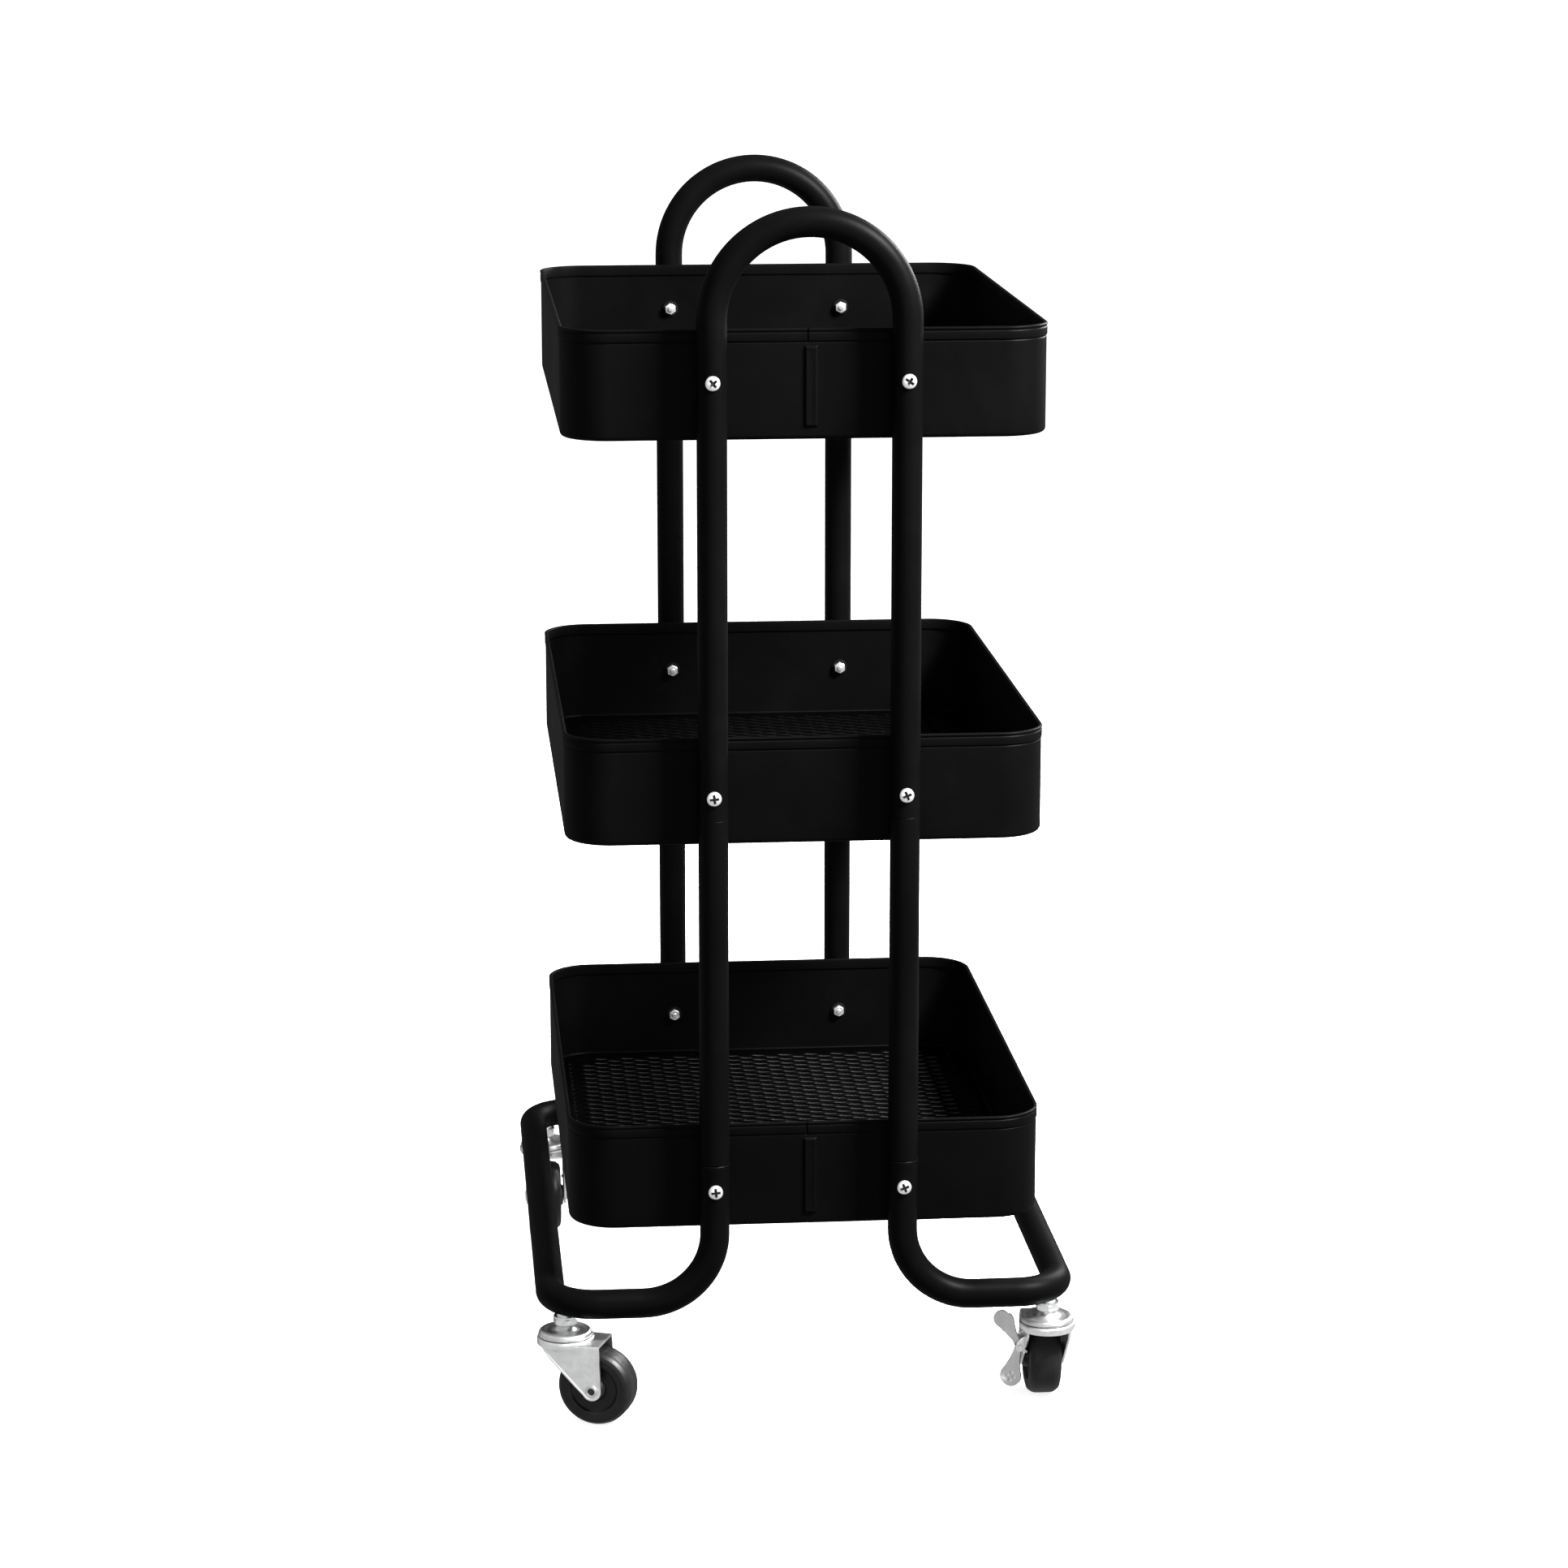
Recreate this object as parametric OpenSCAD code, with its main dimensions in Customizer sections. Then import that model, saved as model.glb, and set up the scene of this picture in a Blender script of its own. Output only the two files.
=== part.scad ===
// Three-tier rolling cart. Two hairpin handle frames, four uprights and two bent
// base tubes carry three sheet baskets with expanded-metal floors. It rolls on four
// swivel casters, two of them with a side toggle brake.
// Origin: on the floor, under the middle of the cart. +Z is up, the handles stand
// at the -Y and +Y ends, and the base rails run along Y.

/* [Overall] */
// Height from the floor to the top of the handles
cart_h = 780; // [772:1:800]
// Width over the two base rails
cart_w = 350; // [344:1:356]

/* [Frame tubes] */
// Outside diameter of every frame tube
tube_d = 19; // [18:0.5:19.5]
// Wall thickness of the frame tubes
tube_t = 1.2; // [1:0.1:1.4]
// Distance between the two legs of one handle, axis to axis
leg_pitch = 121; // [112:1:126]
// Height of the joint between a handle and its uprights
joint_hi_z = 398.3; // [394:0.1:400]
// Height of the joint between an upright and its base tube
joint_lo_z = 172.5; // [171:0.1:174]
// Length of the reduced end that plugs into the next tube
plug_len = 30; // [26:1:34]
// Height of the base rail's axis above the floor
rail_z = 79.5; // [79:0.1:80.5]
// Bend radius where a leg turns out to the side
bend_leg = 46; // [42:1:48]
// Bend radius at the corners of a base tube
bend_rail = 30; // [28:1:34]

/* [Baskets] */
// Outside width of a basket, along X
basket_w = 305; // [290:1:310]
// Outside length of a basket, along Y
basket_l = 400; // [390:1:404]
// Height of a basket wall
basket_h = 69; // [64:1:72]
// Outside corner radius of a basket
corner_r = 30; // [24:1:40]
// Sheet thickness of the walls
sheet_t = 1; // [0.8:0.1:1.2]
// Height of the folded hem at the rim
hem_h = 8; // [6:0.5:10]
// Thickness of the folded hem
hem_t = 2; // [1.8:0.1:2.6]
// Width of the flange turned in under the floor
flange_w = 9; // [7:0.5:12]
// Height of the top basket's rim
rim_top_z = 704.2; // [700:0.1:706]
// Height of the middle basket's rim
rim_mid_z = 447.5; // [444:0.1:450]
// Height of the bottom basket's rim
rim_low_z = 194.7; // [192:0.1:196]

/* [Basket floors] */
// Thickness of the expanded-metal floor
floor_t = 1.2; // [1:0.1:1.6]
// Width of the plain edge around the mesh
floor_edge = 9; // [8:0.5:14]
// Mesh pitch along X, the long way of the diamond
mesh_x = 38.4; // [36:0.4:60]
// Mesh pitch along Y, the short way of the diamond
mesh_y = 21.2; // [20:0.4:32]
// Width of a strand
strand_w = 3.2; // [2.6:0.1:4]

/* [Basket screws] */
// Height of the screws in the top basket
screw_top_z = 673.3; // [668:0.1:676]
// Height of the screws in the middle basket
screw_mid_z = 413; // [411:0.1:414]
// Height of the screws in the bottom basket
screw_low_z = 155.8; // [154:0.1:157]
// Thread diameter of the screws
screw_d = 4; // [4:0.5:5]
// Head diameter of the screws
head_d = 9.4; // [9:0.1:10]
// Thickness of the saddle pad between a tube and a basket
saddle_t = 2.5; // [2:0.1:3]

/* [Casters] */
// Wheel diameter
wheel_d = 50; // [48:1:51]
// Wheel width over the tread
wheel_w = 21; // [18:0.5:22]
// Offset of the wheel axle behind the swivel axis
trail = 22; // [20:0.5:23]
// Diameter of the domed race cap
cap_d = 35; // [34:0.5:36]
// Number of balls in each swivel race
ball_n = 14; // [8:1:16]
// Resting angle of the front left caster's trail, from +X
turn_front_left = -21; // [-30:1:30]
// Resting angle of the front right caster's trail, from +X
turn_front_right = 90; // [70:1:110]

/* [Hidden] */
$fn = 64;

tube_r = tube_d / 2;
bore_r = tube_r - tube_t;
plug_r = bore_r - 0.1;
leg_x = leg_pitch / 2;
leg_y = basket_l / 2 + saddle_t + tube_r;
arch_z = cart_h - tube_r - leg_x;
rail_x = cart_w / 2 - tube_r;
corner_x = rail_x - bend_rail;
corner_y = leg_y - bend_rail;
bend_r = 3;
hole_r = screw_d / 2 + 0.25;
basket_xy = [basket_w, basket_l];

// The stem of a caster goes through the middle of a rail corner.
stem_x = corner_x + bend_rail * sin(45);
stem_y = corner_y + bend_rail * sin(45);
// Each caster: x, y, resting angle of its trail. Opposite corners rest alike.
CASTERS = [
    [-stem_x, -stem_y, turn_front_left],
    [ stem_x, -stem_y, turn_front_right],
    [-stem_x,  stem_y, turn_front_right + 180],
    [ stem_x,  stem_y, turn_front_left + 180]
];

axle_z = wheel_d / 2;
plate_z = wheel_d + 4;      // underside of the fork's top plate
plate_t = 1.5;
ball_r = 1.6;
ball_z = plate_z + plate_t + ball_r + 0.05;
hex_z = 63;
insert_z = rail_z - tube_r; // underside of the rail
pin_r = 5;
axle_r = 3;
leg_out = 14.2;             // outer face of a fork leg
leg_in = leg_out - 1.5;
cap_r = cap_d / 2;

// Toggle brake: pivot beside the fork's leg, in the caster's own frame
piv_y = 17.4;
piv_z = 38;

black = [0.07, 0.07, 0.08];
zinc = [0.78, 0.79, 0.81];
plastic = [0.05, 0.05, 0.055];

function arc(cx, cy, r, a0, a1, n) = [for (i = [0:n]) let (a = a0 + (a1 - a0) * i / n) [cx + r * cos(a), cy + r * sin(a)]];

// ---------------------------------------------------------------- frame tubes

module ring2d() difference() { circle(r = tube_r); circle(r = bore_r); }

module tube_run(len) linear_extrude(len) ring2d();

module tube_bend(r, a) rotate_extrude(angle = a) translate([r, 0]) ring2d();

module cross_hole(x, y, z) translate([x, y, z]) rotate([90, 0, 0]) cylinder(r = hole_r, h = tube_d + 4, center = true);

// One hairpin: two legs and a half-circle on top, drilled for the basket screws.
module handle(side) color(black) difference() {
    union() {
        for (s = [-1, 1]) translate([s * leg_x, side * leg_y, joint_hi_z]) tube_run(arch_z - joint_hi_z);
        translate([0, side * leg_y, arch_z]) rotate([90, 0, 0]) tube_bend(leg_x, 180);
    }
    for (s = [-1, 1], z = [screw_mid_z, screw_top_z]) cross_hole(s * leg_x, side * leg_y, z);
}

// Straight tube with both ends reduced to plug into its neighbours.
module upright(sx, sy) color(black) difference() {
    translate([sx * leg_x, sy * leg_y, 0]) rotate_extrude() polygon([
        [plug_r - 0.5, joint_lo_z - plug_len], [plug_r, joint_lo_z - plug_len + 1],
        [plug_r, joint_lo_z], [tube_r - 0.5, joint_lo_z], [tube_r, joint_lo_z + 0.6],
        [tube_r, joint_hi_z - 0.6], [tube_r - 0.5, joint_hi_z], [plug_r, joint_hi_z],
        [plug_r, joint_hi_z + plug_len - 1], [plug_r - 0.5, joint_hi_z + plug_len],
        [plug_r - tube_t, joint_hi_z + plug_len], [plug_r - tube_t, joint_hi_z - 3],
        [bore_r, joint_hi_z - 6], [bore_r, joint_lo_z + 6],
        [plug_r - tube_t, joint_lo_z + 3], [plug_r - tube_t, joint_lo_z - plug_len]
    ]);
    for (z = [screw_mid_z, screw_low_z]) cross_hole(sx * leg_x, sy * leg_y, z);
}

// Belled mouth at the top of each base tube leg.
module bell() rotate_extrude() polygon([
    [bore_r, -8], [tube_r, -8], [tube_r + 0.4, -2.5], [tube_r + 0.4, -0.5], [tube_r, 0], [bore_r, 0]
]);

// Half of a base tube, from the rear end of the rail's middle to the front leg's top.
module base_half() {
    bend_x = leg_x + bend_leg;
    top_z = joint_lo_z - 8;
    translate([leg_x, -leg_y, joint_lo_z]) bell();
    translate([leg_x, -leg_y, rail_z + bend_leg]) tube_run(top_z - rail_z - bend_leg);
    translate([bend_x, -leg_y, rail_z + bend_leg]) rotate([90, 0, 0]) rotate([0, 0, 180]) tube_bend(bend_leg, 90);
    translate([bend_x, -leg_y, rail_z]) rotate([0, 90, 0]) tube_run(corner_x - bend_x);
    translate([corner_x, -corner_y, rail_z]) rotate([0, 0, 270]) tube_bend(bend_rail, 90);
    translate([rail_x, -corner_y, rail_z]) rotate([-90, 0, 0]) tube_run(corner_y);
}

module base_tube(side) color(black) mirror([side < 0 ? 1 : 0, 0, 0]) difference() {
    union() { base_half(); mirror([0, 1, 0]) base_half(); }
    for (s = [-1, 1]) {
        cross_hole(leg_x, s * leg_y, screw_low_z);
        translate([stem_x, s * stem_y, insert_z - 2]) cylinder(r = 5.5, h = tube_r);
    }
}

// ------------------------------------------------------------------- baskets

// Section of a basket wall: rounded foot with the flange turned in, a groove under
// the hem, and a rolled rim. x is the radius from the corner's centre.
function wall_section() = concat(
    arc(corner_r - bend_r, bend_r, bend_r, -90, 0, 5),
    [[corner_r, basket_h - hem_h - 0.9], [corner_r - 0.35, basket_h - hem_h - 0.45], [corner_r, basket_h - hem_h]],
    arc(corner_r - hem_t / 2, basket_h - hem_t / 2, hem_t / 2, 0, 180, 6),
    [[corner_r - hem_t, basket_h - hem_h + 0.6], [corner_r - sheet_t, basket_h - hem_h]],
    arc(corner_r - bend_r, bend_r, bend_r - sheet_t, 0, -90, 5),
    [[corner_r - bend_r - flange_w, sheet_t], [corner_r - bend_r - flange_w, 0]]
);

module wall_ring() for (k = [0:3]) {
    a = basket_xy[k % 2] / 2 - corner_r;
    b = basket_xy[(k + 1) % 2] / 2 - corner_r;
    rotate([0, 0, 90 * k]) {
        translate([a, b, 0]) rotate_extrude(angle = 90) polygon(wall_section());
        translate([a, b, 0]) rotate([90, 0, 0]) linear_extrude(2 * b) polygon(wall_section());
    }
}

// seam is the end where the wall strip is lapped: -1 front, 1 rear.
module basket_wall(rim_z, screw_z, seam) color(black) difference() {
    union() {
        translate([0, 0, rim_z - basket_h]) wall_ring();
        translate([-3, seam * basket_l / 2 - 0.5, rim_z - 54]) cube([6, 1, 45]);
    }
    for (s = [-1, 1], e = [-1, 1]) translate([s * leg_x, e * basket_l / 2, screw_z])
        rotate([90, 0, 0]) cylinder(r = hole_r, h = 8, center = true);
    translate([-0.25, seam * basket_l / 2 - 0.4, rim_z - hem_h + 0.5]) cube([0.5, 0.8, hem_h]);
}

floor_w = basket_w - 2 * bend_r - 0.6;
floor_l = basket_l - 2 * bend_r - 0.6;
floor_r = corner_r - bend_r;

function in_round_rect(p, w, l, r) = norm([max(abs(p[0]) - w / 2 + r, 0), max(abs(p[1]) - l / 2 + r, 0)]) <= r;

// Lens-shaped opening between four strands
function lens(c) = let (hx = mesh_x / 2 - strand_w * 1.2, hy = mesh_y / 2 - strand_w * 0.85) [
    [c[0] - hx, c[1]], [c[0] - hx * 0.3, c[1] - hy], [c[0] + hx * 0.3, c[1] - hy],
    [c[0] + hx, c[1]], [c[0] + hx * 0.3, c[1] + hy], [c[0] - hx * 0.3, c[1] + hy]
];

function lens_fits(q) = len([for (p = q) if (!in_round_rect(p, floor_w - 2 * floor_edge, floor_l - 2 * floor_edge, floor_r - floor_edge / 2)) 1]) == 0;

module basket_floor(rim_z) color(black) translate([0, 0, rim_z - basket_h + sheet_t]) linear_extrude(floor_t) difference() {
    polygon([for (k = [0:3]) each arc(
        (k == 0 || k == 3 ? 1 : -1) * (floor_w / 2 - floor_r), (k < 2 ? 1 : -1) * (floor_l / 2 - floor_r),
        floor_r, 90 * k, 90 * k + 90, 8)]);
    nx = ceil(floor_w / mesh_x);
    ny = ceil(floor_l / mesh_y);
    for (i = [-nx:nx], j = [-ny:ny]) if ((i + j) % 2 == 0) {
        q = lens([i * mesh_x / 2, j * mesh_y / 2]);
        if (lens_fits(q)) polygon(q);
    }
}

// ------------------------------------------------------------ basket fasteners

// Children are drawn in a frame whose +Y points into the basket, with its origin on
// the tube's outer face, at each of the four screws of a basket.
module at_screws(z) for (s = [-1, 1], e = [0, 1]) rotate([0, 0, 180 * e]) translate([s * leg_x, -leg_y - tube_r, z]) children();

grip = tube_d + saddle_t + sheet_t;   // from the tube's outer face to the wall's inner face
washer_t = 1.2;
nut_t = 3.2;
nut_af = 1.75 * screw_d;

module screws(z) color(zinc) at_screws(z) difference() {
    rotate([-90, 0, 0]) union() {
        rotate_extrude() polygon(concat(
            [[0, 0], [head_d / 2, 0], [head_d / 2, -0.5]],
            [for (a = [20:14:90]) [head_d / 2 * cos(a), -0.5 - 2.1 * sin(a)]],
            [[0, -2.6]]));
        cylinder(r = screw_d / 2, h = grip + washer_t + nut_t + 1.4);
    }
    for (a = [0, 90]) rotate([0, a, 0]) translate([-2.4, -3, -0.5]) cube([4.8, 1.8, 1]);
}

// Moulded pad, hollowed to sit on the tube, flat against the basket.
module saddle_pads(z) color(black) at_screws(z) difference() {
    translate([-6.5, tube_r + 6, -7]) cube([13, tube_r + saddle_t - 6, 14]);
    translate([0, tube_r, -8]) cylinder(r = tube_r, h = 16);
    translate([0, tube_d + 2, 0]) rotate([90, 0, 0]) cylinder(r = hole_r, h = 16, center = true);
}

module washers(z) color(black) at_screws(z) translate([0, grip + washer_t, 0]) rotate([90, 0, 0]) difference() {
    cylinder(r = 5.5, h = washer_t);
    translate([0, 0, -1]) cylinder(r = hole_r, h = washer_t + 2);
}

module nuts(z) color(zinc) at_screws(z) translate([0, grip + washer_t + nut_t, 0]) rotate([90, 0, 0]) difference() {
    intersection() {
        rotate([0, 0, 30]) cylinder(r = nut_af / 2 / cos(30), h = nut_t, $fn = 6);
        rotate_extrude() polygon([[0, 0], [nut_af / 2 - 0.1, 0], [nut_af / 2 + 0.6, 0.6], [nut_af / 2 + 0.6, nut_t], [0, nut_t]]);
    }
    translate([0, 0, -1]) cylinder(r = screw_d / 2, h = nut_t + 2);
}

// ------------------------------------------------------------------- casters

module at_caster(i) translate([CASTERS[i][0], CASTERS[i][1], 0]) rotate([0, 0, CASTERS[i][2]]) children();

// Threaded inserts set in the rail corners, one for each stem.
module caster_inserts() color(zinc) for (i = [0:3]) translate([CASTERS[i][0], CASTERS[i][1], 0]) difference() {
    union() {
        translate([0, 0, insert_z - 1]) cylinder(r = 7.5, h = 1);
        translate([0, 0, insert_z - 0.5]) cylinder(r = 5.5, h = 15.5);
    }
    translate([0, 0, insert_z - 2]) cylinder(r = 4, h = 20);
}

// Threaded stem, hexagon and the king pin below it, riveted over under the fork.
module stem(i) color(zinc) at_caster(i) {
    translate([0, 0, hex_z]) cylinder(r = 14 / 2 / cos(30), h = insert_z - 1 - hex_z, $fn = 6);
    rotate_extrude() polygon([
        [0, plate_z - 2.4], [6.5, plate_z - 2.4], [8, plate_z - 1.6], [8, plate_z - 0.2],
        [pin_r, plate_z - 0.2], [pin_r, hex_z + 1], [3.9, hex_z + 1], [3.9, 85], [3.2, 86], [0, 86]
    ]);
}

// Domed upper race, held under the hexagon.
module race_cap(i) color(zinc) at_caster(i) rotate_extrude() polygon([
    [pin_r, 61], [8.6, 61], [10.8, 59.3], [15.2, 59.3], [16.3, 57.2], [cap_r, 57.2],
    [cap_r, 58.4], [16.2, 60.2], [14, 60.6], [11.5, 60.8], [9.6, 62.5], [8.6, hex_z], [pin_r, hex_z]
]);

module race_balls(i) color(zinc) at_caster(i) for (k = [0:ball_n - 1])
    rotate([0, 0, 360 / ball_n * k]) translate([13, 0, ball_z]) sphere(r = ball_r, $fn = 24);

// Pressed fork: top plate with a skirt and race rim, two legs down to the axle.
module fork(i, brake) color(zinc) at_caster(i) {
    difference() {
        union() {
            translate([0, 0, plate_z]) linear_extrude(plate_t) {
                circle(r = 18.4);
                translate([0, -leg_out]) square([trail + 5, 2 * leg_out]);
            }
            // skirt on the leading side
            translate([0, 0, plate_z - 3.5]) difference() {
                cylinder(r = 18.4, h = 3.5);
                translate([0, 0, -1]) cylinder(r = 16.9, h = 6);
                translate([6, -20, -1]) cube([20, 40, 6]);
            }
            // raised rim round the lower race
            translate([0, 0, plate_z + plate_t]) difference() {
                cylinder(r = 18.4, h = 1.2);
                translate([0, 0, -1]) cylinder(r = 17.8, h = 4);
            }
            for (s = [-1, 1]) fork_leg(s);
            if (brake) for (x = [0, 11]) brake_ear(x);
        }
        translate([0, 0, plate_z - 5]) cylinder(r = pin_r + 0.07, h = 12);
        translate([trail, 0, axle_z]) rotate([90, 0, 0]) cylinder(r = axle_r, h = 40, center = true);
        if (brake) {
            translate([-20, leg_in - 1, 30]) cube([26.8, 4, 8.2]);
            translate([-4, piv_y, piv_z]) rotate([0, 90, 0]) cylinder(r = 1.25, h = 24);
        }
    }
}

// Side view of a leg: wide at the plate, round about the axle.
module fork_leg(s) translate([0, s > 0 ? leg_out : -leg_in, 0]) rotate([90, 0, 0]) linear_extrude(1.5) {
    translate([trail, axle_z]) circle(r = 6.3);
    polygon([[-11.6, plate_z + plate_t], [-11.6, plate_z - 4], [trail - 4.6, axle_z - 4.3], [trail + 6.3, axle_z], [trail + 5, plate_z + plate_t]]);
}

// Lug that carries one end of the brake's pivot pin.
module brake_ear(x) translate([x, 0, 0]) rotate([90, 0, 90]) linear_extrude(1.5) {
    translate([piv_y, piv_z]) circle(r = 3);
    polygon([[leg_out - 0.6, piv_z + 8], [leg_out - 0.6, piv_z + 0.4], [piv_y, piv_z - 2], [piv_y + 3, piv_z], [piv_y + 2.4, piv_z + 3]]);
}

module axle(i) color(zinc) at_caster(i) translate([trail, 0, axle_z]) rotate([90, 0, 0]) {
    h = leg_out;
    rotate_extrude() polygon([
        [0, -h - 0.5], [1.2, -h - 0.5], [2, -h - 1], [3.4, -h - 1], [4.1, -h - 0.4], [4.1, -h], [axle_r, -h],
        [axle_r, h], [4.1, h], [4.1, h + 0.4], [3.4, h + 1], [2, h + 1], [1.2, h + 0.5], [0, h + 0.5]
    ]);
}

// Moulded wheel with a bevelled tread, a sunk web and a hub as wide as the fork allows.
module wheel(i) color(plastic) at_caster(i) translate([trail, 0, axle_z]) rotate([90, 0, 0]) {
    r = wheel_d / 2;
    w = wheel_w / 2;
    hub = leg_in - 0.35;
    rotate_extrude($fn = 96) polygon([
        [axle_r + 0.07, -hub], [7, -hub], [7.6, -hub + 0.8], [8.4, -w + 2.5], [15, -w + 2.5], [16, -w + 0.2],
        [r - 4.2, -w], [r - 2.6, -w + 0.6], [r - 0.7, -w + 3], [r, -w + 4.6],
        [r, w - 4.6], [r - 0.7, w - 3], [r - 2.6, w - 0.6], [r - 4.2, w], [16, w - 0.2], [15, w - 2.5], [8.4, w - 2.5],
        [7.6, hub - 0.8], [7, hub], [axle_r + 0.07, hub]
    ]);
}

// One foot pad of the brake: a round lobe on a tapering neck, twisted to face the foot.
module brake_pad(len, lean, twist, r) translate([6.2, piv_y, piv_z]) rotate([-lean, 0, 0]) rotate([0, 0, twist])
    translate([-0.8, 0, 0]) rotate([90, 0, 90]) linear_extrude(1.6) {
        translate([0, len]) circle(r = r);
        polygon([[-2.4, 1.9], [2.4, 1.9], [r - 0.3, len - 2], [-r + 0.3, len - 2]]);
    }

// Rocker with a hub on the pivot pin, two foot pads and the tongue that bears on the wheel.
module brake_lever(i) color(zinc) at_caster(i) difference() {
    union() {
        translate([1.9, piv_y, piv_z]) rotate([0, 90, 0]) cylinder(r = 2.6, h = 8.7);
        brake_pad(20.1, 29.5, -30, 7.2);
        mirror([0, 0, 1]) translate([0, 0, -2 * piv_z]) brake_pad(21.6, 13.7, -30, 7.2);
        translate([3.6, piv_y, piv_z]) rotate([90, 0, 90]) linear_extrude(2.2)
            polygon([[0, -2.2], [-2, -0.8], [-5.8, -4.1], [-5.1, -5.4]]);
    }
    translate([0, piv_y, piv_z]) rotate([0, 90, 0]) cylinder(r = 1.32, h = 14);
}

module brake_pin(i) color(zinc) at_caster(i) translate([0, piv_y, piv_z]) rotate([0, 90, 0]) rotate_extrude() polygon([
    [0, -0.9], [1.9, -0.9], [2.1, -0.6], [2.1, 0], [1.25, 0], [1.25, 12.5], [2.1, 12.5], [2.1, 13.1], [1.9, 13.4], [0, 13.4]
]);

// ------------------------------------------------------------------- drawing

handle(-1);  // handle_front
handle(1);  // handle_rear
upright(-1, -1);  // upright_front_left
upright(1, -1);  // upright_front_right
upright(-1, 1);  // upright_rear_left
upright(1, 1);  // upright_rear_right
base_tube(-1);  // base_tube_left
base_tube(1);  // base_tube_right
basket_wall(rim_top_z, screw_top_z, -1);  // basket_wall_top
basket_wall(rim_mid_z, screw_mid_z, 1);  // basket_wall_middle
basket_wall(rim_low_z, screw_low_z, -1);  // basket_wall_bottom
basket_floor(rim_top_z);  // basket_floor_top
basket_floor(rim_mid_z);  // basket_floor_middle
basket_floor(rim_low_z);  // basket_floor_bottom
saddle_pads(screw_top_z);  // saddle_pads_top
saddle_pads(screw_mid_z);  // saddle_pads_middle
saddle_pads(screw_low_z);  // saddle_pads_bottom
screws(screw_top_z);  // screws_top
screws(screw_mid_z);  // screws_middle
screws(screw_low_z);  // screws_bottom
washers(screw_top_z);  // washers_top
washers(screw_mid_z);  // washers_middle
washers(screw_low_z);  // washers_bottom
nuts(screw_top_z);  // nuts_top
nuts(screw_mid_z);  // nuts_middle
nuts(screw_low_z);  // nuts_bottom
caster_inserts();
stem(0);  // stem_front_left
stem(1);  // stem_front_right
stem(2);  // stem_rear_left
stem(3);  // stem_rear_right
race_cap(0);  // race_cap_front_left
race_cap(1);  // race_cap_front_right
race_cap(2);  // race_cap_rear_left
race_cap(3);  // race_cap_rear_right
race_balls(0);  // race_balls_front_left
race_balls(1);  // race_balls_front_right
race_balls(2);  // race_balls_rear_left
race_balls(3);  // race_balls_rear_right
fork(0, false);  // fork_front_left
fork(1, true);  // fork_front_right
fork(2, true);  // fork_rear_left
fork(3, false);  // fork_rear_right
axle(0);  // axle_front_left
axle(1);  // axle_front_right
axle(2);  // axle_rear_left
axle(3);  // axle_rear_right
wheel(0);  // wheel_front_left
wheel(1);  // wheel_front_right
wheel(2);  // wheel_rear_left
wheel(3);  // wheel_rear_right
brake_lever(1);  // brake_lever_front_right
brake_lever(2);  // brake_lever_rear_left
brake_pin(1);  // brake_pin_front_right
brake_pin(2);  // brake_pin_rear_left
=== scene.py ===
import bpy, bmesh, math
from mathutils import Matrix, Vector


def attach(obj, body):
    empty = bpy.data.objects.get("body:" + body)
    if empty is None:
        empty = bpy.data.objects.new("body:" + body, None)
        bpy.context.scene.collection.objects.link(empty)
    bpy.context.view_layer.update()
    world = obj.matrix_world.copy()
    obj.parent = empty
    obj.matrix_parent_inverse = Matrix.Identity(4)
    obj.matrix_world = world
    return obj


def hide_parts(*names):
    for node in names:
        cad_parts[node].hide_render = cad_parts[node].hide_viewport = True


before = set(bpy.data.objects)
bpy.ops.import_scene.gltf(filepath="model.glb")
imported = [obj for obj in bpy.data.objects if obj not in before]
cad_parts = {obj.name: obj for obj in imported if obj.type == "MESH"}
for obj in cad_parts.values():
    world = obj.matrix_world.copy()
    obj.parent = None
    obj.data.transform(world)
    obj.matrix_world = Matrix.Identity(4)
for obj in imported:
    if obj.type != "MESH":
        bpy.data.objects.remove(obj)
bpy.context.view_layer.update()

PI = math.pi
sin, cos, tan, sqrt, rad = math.sin, math.cos, math.tan, math.sqrt, math.radians

# ------------------------------------------------------------------ sizes (mm)
TUBE_R = 9.5
LEG_X, LEG_Y = 60.5, 212.0
RIM = {"top": 704.2, "middle": 447.5, "bottom": 194.7}
SCREW_Z = {"top": 673.3, "middle": 413.0, "bottom": 155.8}
SEAM = {"top": -1, "middle": 1, "bottom": -1}
BASKET_W, BASKET_L, BASKET_H, CORNER_R = 305.0, 400.0, 69.0, 30.0
STEM_X, STEM_Y = 156.7132, 203.2132
CASTERS = {
    "front_left": (-STEM_X, -STEM_Y, -21.0),
    "front_right": (STEM_X, -STEM_Y, 90.0),
    "rear_left": (-STEM_X, STEM_Y, 270.0),
    "rear_right": (STEM_X, STEM_Y, 159.0),
}
BRAKED = ("front_right", "rear_left")
TRAIL, AXLE_Z = 22.0, 25.0


def smooth(a, b, x):
    t = max(0.0, min(1.0, (x - a) / (b - a)))
    return t * t * (3 - 2 * t)


# ------------------------------------------------------------------ materials
def new_mat(name):
    m = bpy.data.materials.new(name)
    m.use_nodes = True
    nt = m.node_tree
    nt.nodes.clear()
    out = nt.nodes.new("ShaderNodeOutputMaterial")
    b = nt.nodes.new("ShaderNodeBsdfPrincipled")
    nt.links.new(b.outputs["BSDF"], out.inputs["Surface"])
    tc = nt.nodes.new("ShaderNodeTexCoord")
    return m, nt, b, tc.outputs["Object"]


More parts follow.
